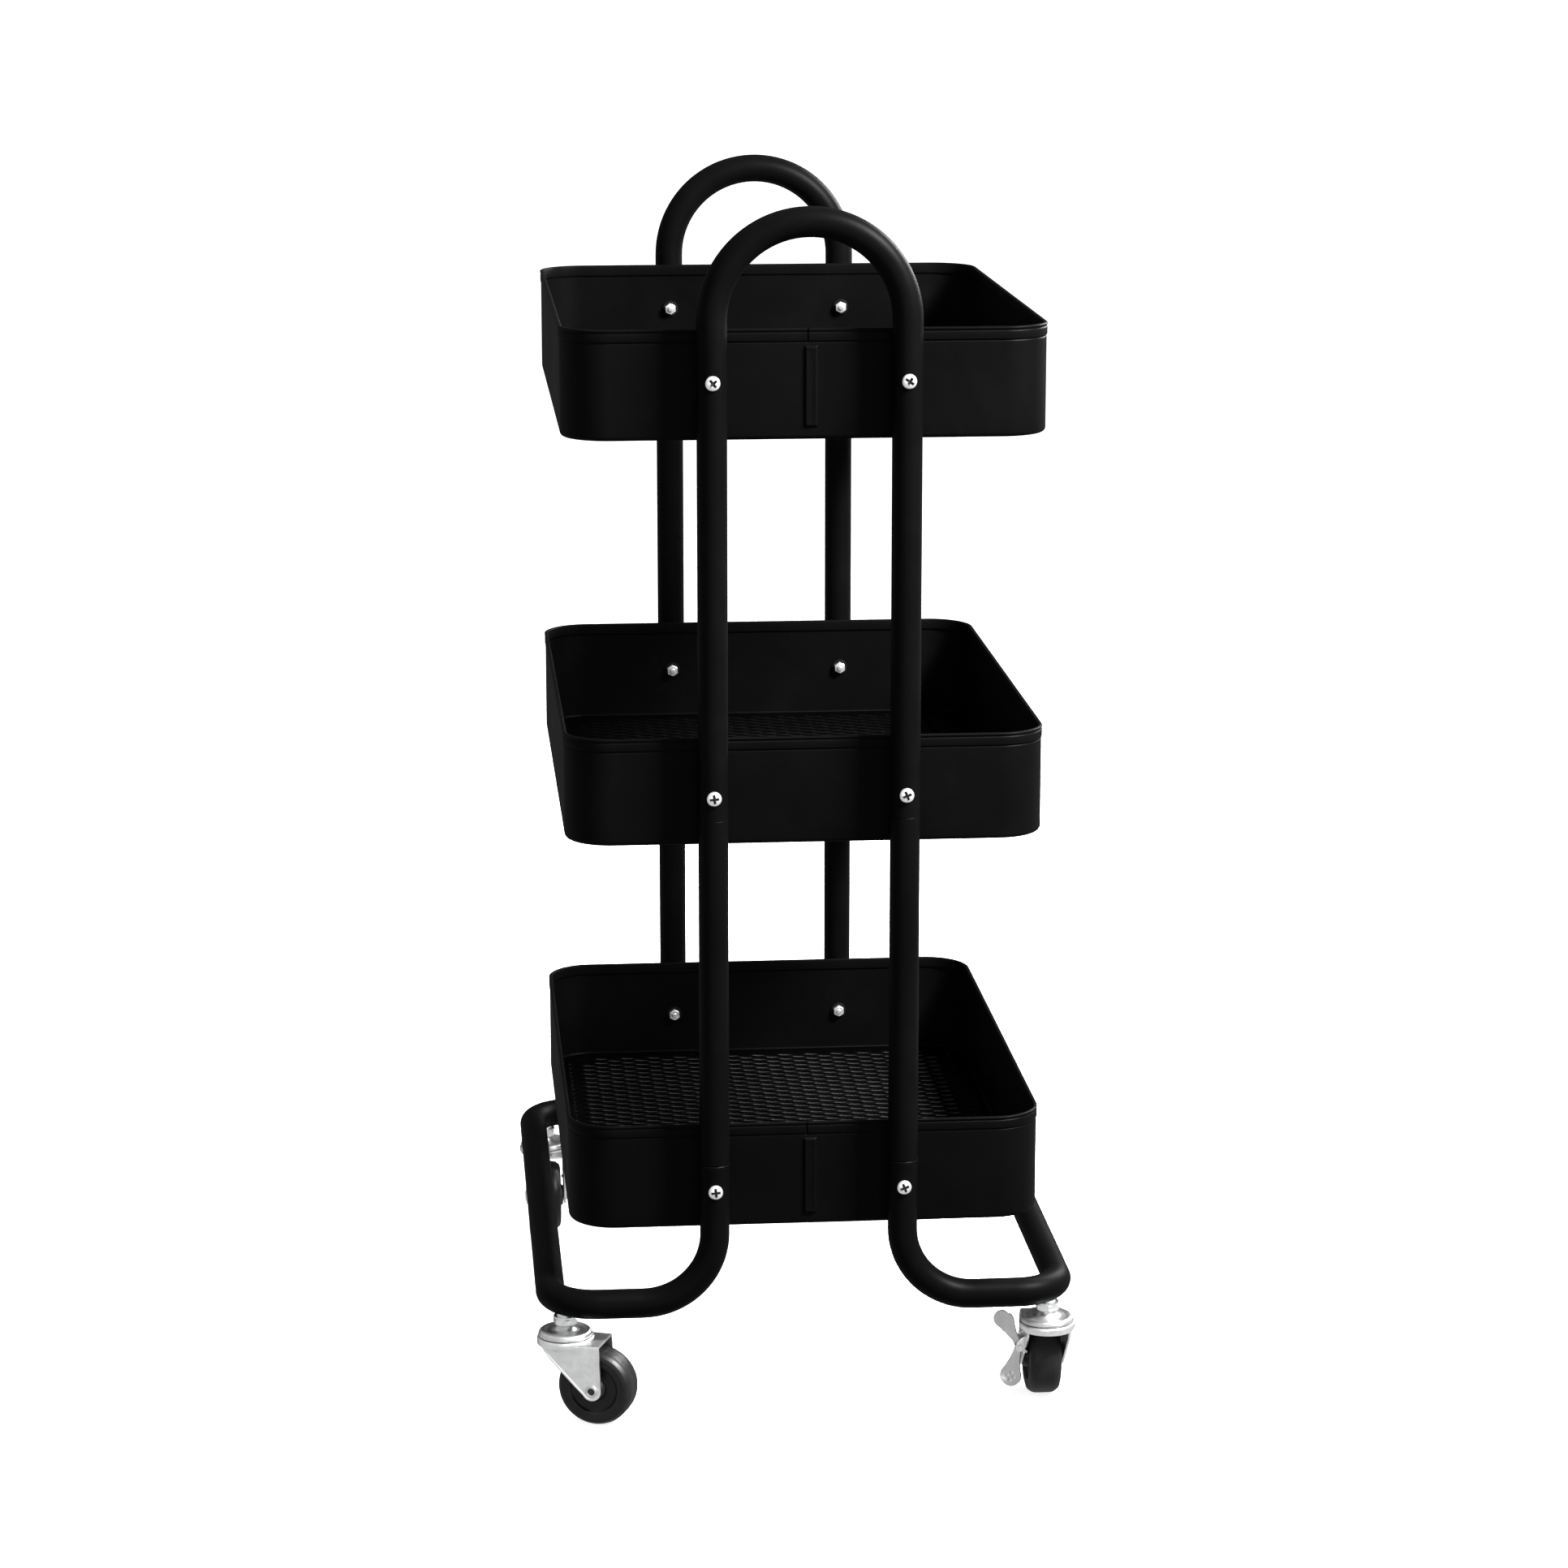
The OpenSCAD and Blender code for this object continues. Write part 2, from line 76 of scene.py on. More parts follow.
def tex_noise(nt, co, scale, detail=3.0, rough=0.55, dist=0.0, stretch=None):
    if stretch is not None:
        mp = nt.nodes.new("ShaderNodeMapping")
        mp.inputs["Scale"].default_value = stretch
        nt.links.new(co, mp.inputs["Vector"])
        co = mp.outputs["Vector"]
    n = nt.nodes.new("ShaderNodeTexNoise")
    n.inputs["Scale"].default_value = scale
    n.inputs["Detail"].default_value = detail
    n.inputs["Roughness"].default_value = rough
    n.inputs["Distortion"].default_value = dist
    nt.links.new(co, n.inputs["Vector"])
    return n.outputs["Fac"]


def tex_cells(nt, co, scale, feature="F1"):
    n = nt.nodes.new("ShaderNodeTexVoronoi")
    n.feature = feature
    n.inputs["Scale"].default_value = scale
    nt.links.new(co, n.inputs["Vector"])
    return n.outputs["Distance"]


def ramp(nt, fac, stops):
    r = nt.nodes.new("ShaderNodeValToRGB")
    el = r.color_ramp.elements
    while len(el) > 1:
        el.remove(el[-1])
    el[0].position, el[0].color = stops[0][0], (*stops[0][1], 1)
    for p, c in stops[1:]:
        e = el.new(p)
        e.color = (*c, 1)
    nt.links.new(fac, r.inputs["Fac"])
    return r.outputs["Color"]


def remap(nt, fac, a, b, lo, hi):
    r = nt.nodes.new("ShaderNodeMapRange")
    for k, v in (("From Min", a), ("From Max", b), ("To Min", lo), ("To Max", hi)):
        r.inputs[k].default_value = v
    nt.links.new(fac, r.inputs["Value"])
    return r.outputs["Result"]


def math_node(nt, op, a, b):
    n = nt.nodes.new("ShaderNodeMath")
    n.operation = op
    for i, v in enumerate((a, b)):
        if isinstance(v, (int, float)):
            n.inputs[i].default_value = v
        else:
            nt.links.new(v, n.inputs[i])
    return n.outputs["Value"]


def bump(nt, b, height, dist, strength=1.0):
    n = nt.nodes.new("ShaderNodeBump")
    n.inputs["Strength"].default_value = strength
    n.inputs["Distance"].default_value = dist
    nt.links.new(height, n.inputs["Height"])
    nt.links.new(n.outputs["Normal"], b.inputs["Normal"])


def grey(v):
    return (v, v, v * 1.02)


def powder_coat(name="powder_coat_black", gain=1.0, spec=0.02):
    """Black polyester powder on steel: faint orange peel, fine grit and a little dust."""
    m, nt, b, co = new_mat(name)
    peel = tex_noise(nt, co, 520.0, 2.0, 0.5)
    grit = tex_noise(nt, co, 2600.0, 2.0, 0.6)
    cloud = tex_noise(nt, co, 14.0, 4.0, 0.6, 0.3)
    dust = tex_cells(nt, co, 900.0)
    col = ramp(nt, cloud, [(0.30, grey(0.0010 * gain)), (0.55, grey(0.0014 * gain)), (0.78, grey(0.0020 * gain))])
    mix = nt.nodes.new("ShaderNodeMix")
    mix.data_type = "RGBA"
    nt.links.new(remap(nt, dust, 0.02, 0.09, 0.20, 0.0), mix.inputs["Factor"])
    nt.links.new(col, mix.inputs["A"])
    mix.inputs["B"].default_value = (0.0060 * gain, 0.0060 * gain, 0.0062 * gain, 1)
    nt.links.new(mix.outputs["Result"], b.inputs["Base Color"])
    r = math_node(nt, "ADD", remap(nt, cloud, 0.3, 0.75, 0.40, 0.49), remap(nt, grit, 0.3, 0.7, -0.03, 0.03))
    nt.links.new(r, b.inputs["Roughness"])
    b.inputs["Specular IOR Level"].default_value = spec
    h = math_node(nt, "ADD", math_node(nt, "MULTIPLY", peel, 1.0), math_node(nt, "MULTIPLY", grit, 0.25))
    bump(nt, b, h, 0.00006, 0.55)
    return m


def zinc_plate(name="bright_zinc", tone=0.84, metal=0.96, rough=0.28, relief=0.3):
    """Bright zinc on pressed steel: mottled sheen, fine drawing lines, small pits."""
    m, nt, b, co = new_mat(name)
    blot = tex_noise(nt, co, 170.0, 4.0, 0.6, 0.4)
    fine = tex_noise(nt, co, 1500.0, 3.0, 0.6)
    draw = tex_noise(nt, co, 260.0, 3.0, 0.6, 0.0, (1.0, 1.0, 9.0))
    pits = tex_cells(nt, co, 1100.0)
    t = tone
    col = ramp(nt, blot, [(0.28, (0.90 * t, 0.907 * t, 0.915 * t)), (0.5, (t, 1.005 * t, 1.01 * t)), (0.72, (1.09 * t, 1.09 * t, 1.08 * t))])
    mix = nt.nodes.new("ShaderNodeMix")
    mix.data_type = "RGBA"
    nt.links.new(remap(nt, pits, 0.03, 0.12, 0.4, 0.0), mix.inputs["Factor"])
    nt.links.new(col, mix.inputs["A"])
    mix.inputs["B"].default_value = (0.70 * t, 0.70 * t, 0.71 * t, 1)
    nt.links.new(mix.outputs["Result"], b.inputs["Base Color"])
    b.inputs["Metallic"].default_value = metal
    r = math_node(nt, "ADD", remap(nt, blot, 0.3, 0.7, rough, rough + 0.07), remap(nt, fine, 0.3, 0.7, -0.03, 0.03))
    nt.links.new(r, b.inputs["Roughness"])
    h = math_node(nt, "ADD", math_node(nt, "MULTIPLY", draw, 0.7), math_node(nt, "MULTIPLY", fine, 0.35))
    bump(nt, b, h, 0.00005, relief)
    return m


def wheel_plastic():
    """Hard black polypropylene: satin, with flow marks and light scuffs."""
    m, nt, b, co = new_mat("moulded_black_plastic")
    flow = tex_noise(nt, co, 60.0, 4.0, 0.55, 1.2)
    scuff = tex_noise(nt, co, 420.0, 4.0, 0.7, 0.0, (3.0, 0.6, 3.0))
    fine = tex_noise(nt, co, 2400.0, 2.0, 0.6)
    col = ramp(nt, flow, [(0.3, grey(0.0032)), (0.55, grey(0.0048)), (0.8, grey(0.0072))])
    mix = nt.nodes.new("ShaderNodeMix")
    mix.data_type = "RGBA"
    nt.links.new(remap(nt, scuff, 0.60, 0.76, 0.0, 0.55), mix.inputs["Factor"])
    nt.links.new(col, mix.inputs["A"])
    mix.inputs["B"].default_value = (0.016, 0.016, 0.0165, 1)
    nt.links.new(mix.outputs["Result"], b.inputs["Base Color"])
    r = math_node(nt, "ADD", remap(nt, flow, 0.3, 0.75, 0.37, 0.47), remap(nt, scuff, 0.55, 0.8, 0.0, 0.22))
    nt.links.new(r, b.inputs["Roughness"])
    b.inputs["Specular IOR Level"].default_value = 0.24
    h = math_node(nt, "ADD", math_node(nt, "MULTIPLY", scuff, 0.6), math_node(nt, "MULTIPLY", fine, 0.3))
    bump(nt, b, h, 0.00005, 0.5)
    return m


def black_nylon():
    """Matt moulded nylon with a fine spark-eroded texture."""
    m, nt, b, co = new_mat("moulded_black_nylon")
    spark = tex_cells(nt, co, 2200.0, "SMOOTH_F1")
    cloud = tex_noise(nt, co, 120.0, 3.0, 0.6)
    col = ramp(nt, cloud, [(0.3, grey(0.0012)), (0.7, grey(0.0024))])
    nt.links.new(col, b.inputs["Base Color"])
    nt.links.new(remap(nt, cloud, 0.3, 0.7, 0.5, 0.62), b.inputs["Roughness"])
    b.inputs["Specular IOR Level"].default_value = 0.06
    bump(nt, b, spark, 0.00008, 0.6)
    return m


def studio_floor():
    m, nt, b, co = new_mat("studio_floor")
    cloud = tex_noise(nt, co, 0.8, 2.0, 0.5)
    col = ramp(nt, cloud, [(0.3, (0.90, 0.90, 0.90)), (0.7, (0.92, 0.92, 0.92))])
    nt.links.new(col, b.inputs["Base Color"])
    b.inputs["Roughness"].default_value = 0.9
    b.inputs["Specular IOR Level"].default_value = 0.0
    b.inputs["Emission Color"].default_value = (1, 1, 1, 1)
    b.inputs["Emission Strength"].default_value = 0.80
    return m


MATS = {
    "black_powder_coat": powder_coat(),
    "zinc_plate": zinc_plate(),
    "wheel_plastic": wheel_plastic(),
    "black_nylon": black_nylon(),
}
# darker and lighter copies of the black coat for the floor mesh: painted shade on the strands' lit top faces, painted
# light on their front risers
MESH_PAINTED_SHADE = powder_coat("powder_coat_mesh", 0.35, 0.008)
MESH_PAINTED_LIGHT = powder_coat("powder_coat_mesh_painted_light", 19.0, 0.05)
ZINC_BOLT = zinc_plate("bright_zinc_fastener", 0.86, 0.88, 0.26, 0.2)
ZINC_LEVER = zinc_plate("bright_zinc_lever", 0.60, 0.96, 0.26, 0.3)
ZINC_CAP = zinc_plate("bright_zinc_cap", 0.62, 0.96, 0.30, 0.5)
# near-black copy of the zinc: painted shade for the faces inside recesses and dimples
ZINC_PAINTED_SHADE = zinc_plate("zinc_recess_painted_shade", 0.035, 0.4, 0.55, 0.3)


# ------------------------------------------------------------------ mesh helpers
def rnd(pts, r, closed=True, n=4):
    """Rounds the corners of a line of points; r is one radius or one for each point."""
    out, m = [], len(pts)
    for i, p in enumerate(pts):
        ri = r[i] if isinstance(r, (list, tuple)) else r
        if ri <= 0 or (not closed and i in (0, m - 1)):
            out.append((p[0], p[1]))
            continue
        P, A, B = Vector(p), Vector(pts[i - 1]), Vector(pts[(i + 1) % m])
        u, v = A - P, B - P
        lu, lv = u.length, v.length
        u, v = u / lu, v / lv
        th = math.acos(max(-1.0, min(1.0, u.dot(v))))
        if th > PI - 0.03 or th < 0.02:
            out.append((p[0], p[1]))
            continue
        t = min(ri / tan(th / 2), 0.48 * lu, 0.48 * lv)
        re = t * tan(th / 2)
        C = P + (u + v).normalized() * (re / sin(th / 2))
        a, b, ang = P + u * t - C, P + v * t - C, PI - th
        for k in range(n + 1):
            f = k / n
            s = (a * sin((1 - f) * ang) + b * sin(f * ang)) / sin(ang)
            out.append((C.x + s.x, C.y + s.y))
    return out


def lathe(prof, n=72, closed=True):
    V = [(r * cos(2 * PI * k / n), r * sin(2 * PI * k / n), z) for r, z in prof for k in range(n)]
    m = len(prof)
    F = []
    for i in range(m if closed else m - 1):
        j = (i + 1) % m
        F += [(i * n + k, i * n + (k + 1) % n, j * n + (k + 1) % n, j * n + k) for k in range(n)]
    return V, F


def grid(rows, wrap=False):
    """Faces over rows of equally many points."""
    V = [p for r in rows for p in r]
    c = len(rows[0])
    F = []
    for i in range(len(rows) - 1):
        for k in range(c if wrap else c - 1):
            l = (k + 1) % c
            F.append((i * c + k, i * c + l, (i + 1) * c + l, (i + 1) * c + k))
    return V, F


def thread(r, depth, pitch, z0, z1, n=28, per=5):
    """Screw thread along Z with a tapered tip, closed at both ends."""
    rows, steps = [], int(round((z1 - z0) / pitch * per))
    for i in range(steps + 1):
        z = z0 + (z1 - z0) * i / steps
        tip = 0.55 * smooth(z1 - 0.7, z1, z)
        row = []
        for k in range(n):
            ph = (z / pitch - k / n) % 1.0
            rr = r - depth * abs(2 * ph - 1) - tip
            row.append((rr * cos(2 * PI * k / n), rr * sin(2 * PI * k / n), z))
        rows.append(row)
    rows = [[(0, 0, z0)] * n] + rows + [[(0, 0, z1 + 0.1)] * n]
    return grid(rows, True)


def hexagon(af, z0, z1, hole=0.0, ch0=True, ch1=True, n=96):
    """Hexagon with its corners turned off by a cone at either end, and a hole if asked."""
    def hr(a):
        return af / 2 / cos(((a + PI / 6) % (PI / 3)) - PI / 6)

    full = af / 2 / cos(PI / 6)
    zs = []
    steps = [0.0, 0.03, 0.07, 0.12, 0.18, 0.25, 0.34, 0.45]
    k = af / 7.0
    for s in steps:
        zs.append((z0 + s * k, af / 2 * 0.955 + s * k * 1.75 if ch0 else full))
    for s in reversed(steps):
        zs.append((z1 - s * k, af / 2 * 0.955 + s * k * 1.75 if ch1 else full))
    rows = []
    ang = [2 * PI * i / n for i in range(n)]

    def ring(r, z):
        return [(r * cos(a), r * sin(a), z) for a in ang]

    if hole:
        rows += [ring(hole, z0 + 0.35), ring(hole + 0.3, z0)]
    else:
        rows += [ring(0.0, z0)]
    for z, lim in zs:
        rows.append([(min(hr(a), lim) * cos(a), min(hr(a), lim) * sin(a), z) for a in ang])
    if hole:
        rows += [ring(hole + 0.3, z1), ring(hole, z1 - 0.35), ring(hole, z0 + 0.35)]
    else:
        rows += [ring(0.0, z1)]
    return grid(rows, True)


def move(part, M):
    V, F = part
    return [tuple(M @ Vector(v)) for v in V], F


def prism(outline, h0, h1):
    """Closed prism over an outline in XY."""
    n = len(outline)
    V = [(x, y, h0) for x, y in outline] + [(x, y, h1) for x, y in outline]
    F = [tuple(range(n))[::-1], tuple(range(n, 2 * n))]
    F += [(i, (i + 1) % n, n + (i + 1) % n, n + i) for i in range(n)]
    return V, F


def raw(name, parts, merge=0.002, recalc=True):
    """One mesh object, in metres, out of parts in millimetres."""
    bm = bmesh.new()
    for V, F in parts:
        vs = [bm.verts.new((x * 0.001, y * 0.001, z * 0.001)) for x, y, z in V]
        for f in F:
            if len(set(f)) > 2:
                try:
                    bm.faces.new([vs[i] for i in f])
                except ValueError:
                    pass
    bmesh.ops.remove_doubles(bm, verts=bm.verts, dist=merge * 0.001)
    bmesh.ops.dissolve_degenerate(bm, edges=bm.edges, dist=merge * 0.0005)
    if recalc:
        bmesh.ops.recalc_face_normals(bm, faces=bm.faces)
    me = bpy.data.meshes.new(name)
    bm.to_mesh(me)
    bm.free()
    o = bpy.data.objects.new(name, me)
    bpy.context.scene.collection.objects.link(o)
    return o


def settle(o):
    """Applies the object's modifiers to its mesh."""
    dg = bpy.context.evaluated_depsgraph_get()
    me = bpy.data.meshes.new_from_object(o.evaluated_get(dg))
    old = o.data
    o.modifiers.clear()
    o.data = me
    bpy.data.meshes.remove(old)
    me.name = o.name
    return o


def bevel(o, width, segs=2, angle=40.0):
    b = o.modifiers.new("bevel", "BEVEL")
    b.width, b.segments = width * 0.001, segs
    b.limit_method, b.angle_limit = "ANGLE", rad(angle)
    b.use_clamp_overlap = True
    b.miter_outer = "MITER_ARC"
    return settle(o)


def cut(o, tools, solver="EXACT"):
    for t in tools:
        m = o.modifiers.new("cut", "BOOLEAN")
        m.operation, m.object, m.solver = "DIFFERENCE", t, solver
    settle(o)
    for t in tools:
        bpy.data.objects.remove(t)
    return o


def shade(o, sharp=35.0):
    me = o.data
    me.polygons.foreach_set("use_smooth", [True] * len(me.polygons))
    me.set_sharp_from_angle(angle=rad(sharp))
    return o


def finish_piece(o, body, slot, nodes=(), sharp=35.0, mat=None):
    shade(o, sharp)
    o.data.materials.clear()
    o.data.materials.append(mat or MATS[slot])
    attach(o, body)
    if nodes:
        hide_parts(*nodes)
    return o


def mesh_parts(o):
    """The object's mesh as a part in millimetres."""
    return [tuple(v.co * 1000.0) for v in o.data.vertices], [tuple(p.vertices) for p in o.data.polygons]


# ------------------------------------------------------------------ camera
YAW, PITCH = 0.088, 0.221
cam = bpy.data.cameras.new("camera")
cam.sensor_width = 36.0
cam.sensor_fit = "HORIZONTAL"
cam.lens = 5219.5 / 1932.0 * 36.0
cam.clip_start, cam.clip_end = 0.05, 200.0
cam_o = bpy.data.objects.new("camera", cam)
cam_o.location = (-0.2437, -2.7934, 1.0019)
cam_o.rotation_euler = (PI / 2 - PITCH, 0.0, -YAW)
bpy.context.scene.collection.objects.link(cam_o)
bpy.context.scene.camera = cam_o

# ------------------------------------------------------------------ studio
# The floor is a shallow bowl: flat under the cart, curved up far away.
rows = []
for i in range(40):
    f = i / 39.0
    r = 0.001 + 14.0 * f
    z = 4.0 * smooth(0.45, 1.0, f) ** 1.5
    rows.append([(1000 * r * cos(2 * PI * k / 96), 1000 * r * sin(2 * PI * k / 96), 1000 * z) for k in range(96)])
floor = raw("studio_floor", [grid(rows, True)], recalc=False)
floor.data.flip_normals() if floor.data.polygons[0].normal.z < 0 else None
shade(floor, 80)
floor.data.materials.append(studio_floor())
floor.visible_glossy = False
floor.visible_diffuse = False
floor.visible_shadow = False
floor.visible_transmission = False


def area(name, loc, aim, sx, sy, power, colour=(1, 1, 1)):
    l = bpy.data.lights.new(name, "AREA")
    l.shape, l.size, l.size_y, l.energy, l.color = "RECTANGLE", sx, sy, power, colour
    o = bpy.data.objects.new(name, l)
    o.location = loc
    o.rotation_euler = (Vector(aim) - Vector(loc)).to_track_quat("-Z", "Y").to_euler()
    bpy.context.scene.collection.objects.link(o)
    o.visible_camera = False
    return o


area("key", (1.10, -0.86, 1.72), (0.0, -0.05, 0.40), 0.48, 0.48, 240.0)
area("back_right", (1.45, 1.25, 1.35), (0.0, 0.0, 0.40), 0.9, 0.9, 85.0)
area("card_front", (-0.5, -3.2, 0.45), (0.0, 0.0, 0.25), 2.4, 0.8, 8.0)

world = bpy.data.worlds.new("studio")
bpy.context.scene.world = world
world.use_nodes = True
wn = world.node_tree
bg = wn.nodes["Background"]
bg.inputs["Color"].default_value = (1, 1, 1, 1)
# the room is darker behind the cart, as in a studio lit from the front
wtc = wn.nodes.new("ShaderNodeTexCoord")
wsep = wn.nodes.new("ShaderNodeSeparateXYZ")
wn.links.new(wtc.outputs["Generated"], wsep.inputs["Vector"])
wmap = wn.nodes.new("ShaderNodeMapRange")
for k, v in (("From Min", 0.45), ("From Max", 0.90), ("To Min", 0.62), ("To Max", 0.13)):
    wmap.inputs[k].default_value = v
wn.links.new(wsep.outputs["Y"], wmap.inputs["Value"])
wn.links.new(wmap.outputs["Result"], bg.inputs["Strength"])
bpy.context.scene.view_settings.view_transform = "Standard"
bpy.context.scene.view_settings.look = "None"

# ------------------------------------------------------------------ carried-over parts
for name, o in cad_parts.items():
    for s in o.material_slots:
        key = s.material.name.split(".")[0] if s.material else "black_powder_coat"
        s.material = MATS.get(key, MATS["black_powder_coat"])


# ------------------------------------------------------------------ baskets
def rounded_path(w, l, r, arc=18, straight=(10, 12), marks=()):
    """Samples round a rounded rectangle: corner-centre point and outward direction."""
    a, b = w / 2 - r, l / 2 - r
    out = []
    corners = [(a, b, 0), (-a, b, 90), (-a, -b, 180), (a, -b, 270)]
    for i, (cx, cy, a0) in enumerate(corners):
        for k in range(arc + 1):
            t = rad(a0 + 90.0 * k / arc)
            out.append((cx, cy, cos(t), sin(t)))
        nx, ny, _ = corners[(i + 1) % 4]
        t = rad(a0 + 90.0)
        n = straight[i % 2]
        fr = [k / n for k in range(1, n)]
        if i in marks:  # extra samples round the middle of this side
            half = 0.5
            span = sqrt((nx - cx) ** 2 + (ny - cy) ** 2)
            fr = [f for f in fr if abs(f - half) * span > 1.8] + [half + d / span for d in (-1.4, -0.62, -0.42, 0.42, 0.62, 1.4)]
            fr.sort()
        for f in fr:
            out.append((cx + (nx - cx) * f, cy + (ny - cy) * f, cos(t), sin(t)))
    return out


def wall_profile():
    R, H, hem = CORNER_R, BASKET_H, 8.0
    p = []
    for k in range(11):  # rounded foot
        t = rad(-90 + 9.0 * k)
        p.append((R - 3 + 3 * cos(t), 3 + 3 * sin(t)))
    p += [(R, 12), (R, 30), (R, 48), (R, H - hem - 1.6), (R - 0.02, H - hem - 1.25), (R - 0.16, H - hem - 0.95), (R - 0.40, H - hem - 0.7),
          (R - 0.44, H - hem - 0.4), (R - 0.30, H - hem - 0.15), (R + 0.12, H - hem + 0.05), (R + 0.36, H - hem + 0.3), (R + 0.45, H - hem + 0.65)]
    p += [(R + 0.45, H - 5.0), (R + 0.45, H - 3.3), (R + 0.38, H - 2.95), (R + 0.16, H - 2.7), (R - 0.02, H - 2.45), (R + 0.02, H - 2.2), (R + 0.26, H - 1.95)]
    for k in range(11):  # rolled rim
        t = rad(-36 + 21.6 * k)
        p.append((R - 0.675 + 1.325 * cos(t), H - 1 + 1.0 * sin(t)))
    p += [(R - 2, H - 4.5), (R - 2, H - hem + 1.4), (R - 1.93, H - hem + 0.8), (R - 1.7, H - hem + 0.45), (R - 1.35, H - hem + 0.3), (R - 1.02, H - hem + 0.1),
          (R - 1, H - hem - 0.6), (R - 1, 48), (R - 1, 30), (R - 1, 12)]
    for k in range(9):  # inside of the foot
        t = rad(-11.25 * k)
        p.append((R - 3 + 2 * cos(t), 3 + 2 * sin(t)))
    p += [(R - 8, 1.0), (R - 11.7, 1.0), (R - 12, 0.8), (R - 12, 0.2), (R - 11.7, 0.0), (R - 8, 0.0)]
    return p


def seam_strip(z0, z1, half=4.6, high=1.55):
    """Lapped joint of the wall strip: a low raised pad with sloping sides, drawn at +Y."""
    us = [-half, -half + 0.15, -half + 0.4, -half + 0.7, -half + 1.0, -half + 1.3, -half + 1.6, -half + 1.9, -2.0, -1.0]
    us = us + [0.0] + [-u for u in reversed(us)]
    L = z1 - z0
    ends = [0.0, 0.15, 0.4, 0.7, 1.0, 1.3, 1.6, 1.9, 2.6]
    vs = ends + [4.0 + (L - 8.0) * k / 12 for k in range(13)] + [L - e for e in reversed(ends)]
    front, back = [], []
    for v in vs:
        rf, rb = [], []
        for u in us:
            d = min(half - abs(u), v, L - v)
            h = -0.3 + (high + 0.3) * smooth(-0.25, 1.75, d)
            # the pad is a touch hollow, as a pressed lap is
            h -= 0.30 * smooth(1.7, 3.6, d)
            rf.append((u, h, z0 + v))
            rb.append((u, -0.7, z0 + v))
        front.append(rf)
        back.append(rb)
    V, F = grid(front)
    V2, F2 = grid(back)
    n = len(V)
    V = V + V2
    F = F + [tuple(i + n for i in f[::-1]) for f in F2]
    c, r = len(us), len(vs)
    ring = [k for k in range(c)] + [i * c + c - 1 for i in range(1, r)] + [(r - 1) * c + k for k in range(c - 2, -1, -1)] + [i * c for i in range(r - 2, 0, -1)]
    for i in range(len(ring)):
        a, b = ring[i], ring[(i + 1) % len(ring)]
        F.append((a, b, b + n, a + n))
    return V, F


PROFILE = wall_profile()
for tier in ("top", "middle", "bottom"):
    z0 = RIM[tier] - BASKET_H
    side = SEAM[tier]
    mark = 0 if side > 0 else 2  # the sample list runs +Y side first, then -X, -Y, +X
    path = rounded_path(BASKET_W, BASKET_L, CORNER_R, marks=(mark,))
    rows = []
    for cx, cy, dx, dy in path:
        gap = abs(cx) < 0.43 and dy * side > 0.5
        row = []
        for px, pz in PROFILE:
            if gap and px > CORNER_R - 0.9 and pz > BASKET_H - 8.9:
                px = max(CORNER_R - 0.9, px - 1.3)
            row.append((cx + dx * px, cy + dy * px, z0 + pz))
        rows.append(row)
    rows.append(rows[0])
    wall = grid(rows, True)
    strip = seam_strip(RIM[tier] - 61.5, RIM[tier] - 10.3)
    M = Matrix.Translation((-1.9 * side, side * BASKET_L / 2, 0)) @ (Matrix.Identity(4) if side > 0 else Matrix.Rotation(PI, 4, "Z"))
    o = raw("basket_shell_" + tier, [wall, move(strip, M)])
    finish_piece(o, "frame", "black_powder_coat", ["basket_wall_" + tier], 40)

# expanded metal: one unit round each opening, tilted strands
LWD, SWD, SHEET = 19.2, 10.6, 1.2
HOLE_A, HOLE_B, LIFT = 7.6, 3.75, 0.74
IN_W, IN_L, IN_R = 140.2, 187.7, 22.0   # half sizes and corner radius of the plain edge's inside


def border_gap(x, y):
    """Distance from a point to the plain edge, negative inside it."""
    qx, qy = abs(x) - (IN_W - IN_R), abs(y) - (IN_L - IN_R)
    if qx > 0 and qy > 0:
        return IN_R - sqrt(qx * qx + qy * qy)
    return IN_R - max(qx, qy)


def mesh_unit(cx, cy):
    per = 4
    shrink = 0.5 + 0.5 * smooth(0.5, 7.0, min(border_gap(cx + d, cy) for d in (-LWD / 2, 0, LWD / 2)))
    outer, hole = [], []
    corners = [(LWD / 2, 0), (0, SWD / 2), (-LWD / 2, 0), (0, -SWD / 2)]
    for i in range(4):
        a, b = corners[i], corners[(i + 1) % 4]
        for k in range(per):
            f = k / per
            outer.append((a[0] + (b[0] - a[0]) * f, a[1] + (b[1] - a[1]) * f))
            t = (i + f) * PI / 2
            c, s = cos(t), sin(t)
            hole.append((HOLE_A * math.copysign(abs(c) ** 1.45, c), shrink * HOLE_B * math.copysign(abs(s) ** 1.45, s), t))
    mid = []
    for (ox, oy), (hx, hy, t) in zip(outer, hole):
        mid.append((ox * 0.12 + hx * 0.88, oy * 0.12 + hy * 0.88, t))
    n = len(outer)

    def rows_for():
        R = []
        fade = {}

        def off(x, y, t):
            g = smooth(0.3, 4.0, border_gap(cx + x, cy + y))
            s = sin(t)
            return -LIFT * g * math.copysign(min(1.0, abs(s) * 2.2), s) if abs(s) > 1e-6 else 0.0

        th = SHEET / 2 - 0.02
        R.append([(cx + x, cy + y, th) for x, y in outer])
        R.append([(cx + x, cy + y, th + off(x, y, t) * 0.9) for x, y, t in mid])
        R.append([(cx + x * 1.0, cy + y * 1.0, th - 0.14 + off(x, y, t)) for x, y, t in hole])
        R.append([(cx + x, cy + y, -th + 0.14 + off(x, y, t)) for x, y, t in hole])
        R.append([(cx + x, cy + y, -th + off(x, y, t) * 0.9) for x, y, t in mid])
        R.append([(cx + x, cy + y, -th) for x, y in outer])
        return R

    return grid(rows_for(), True)


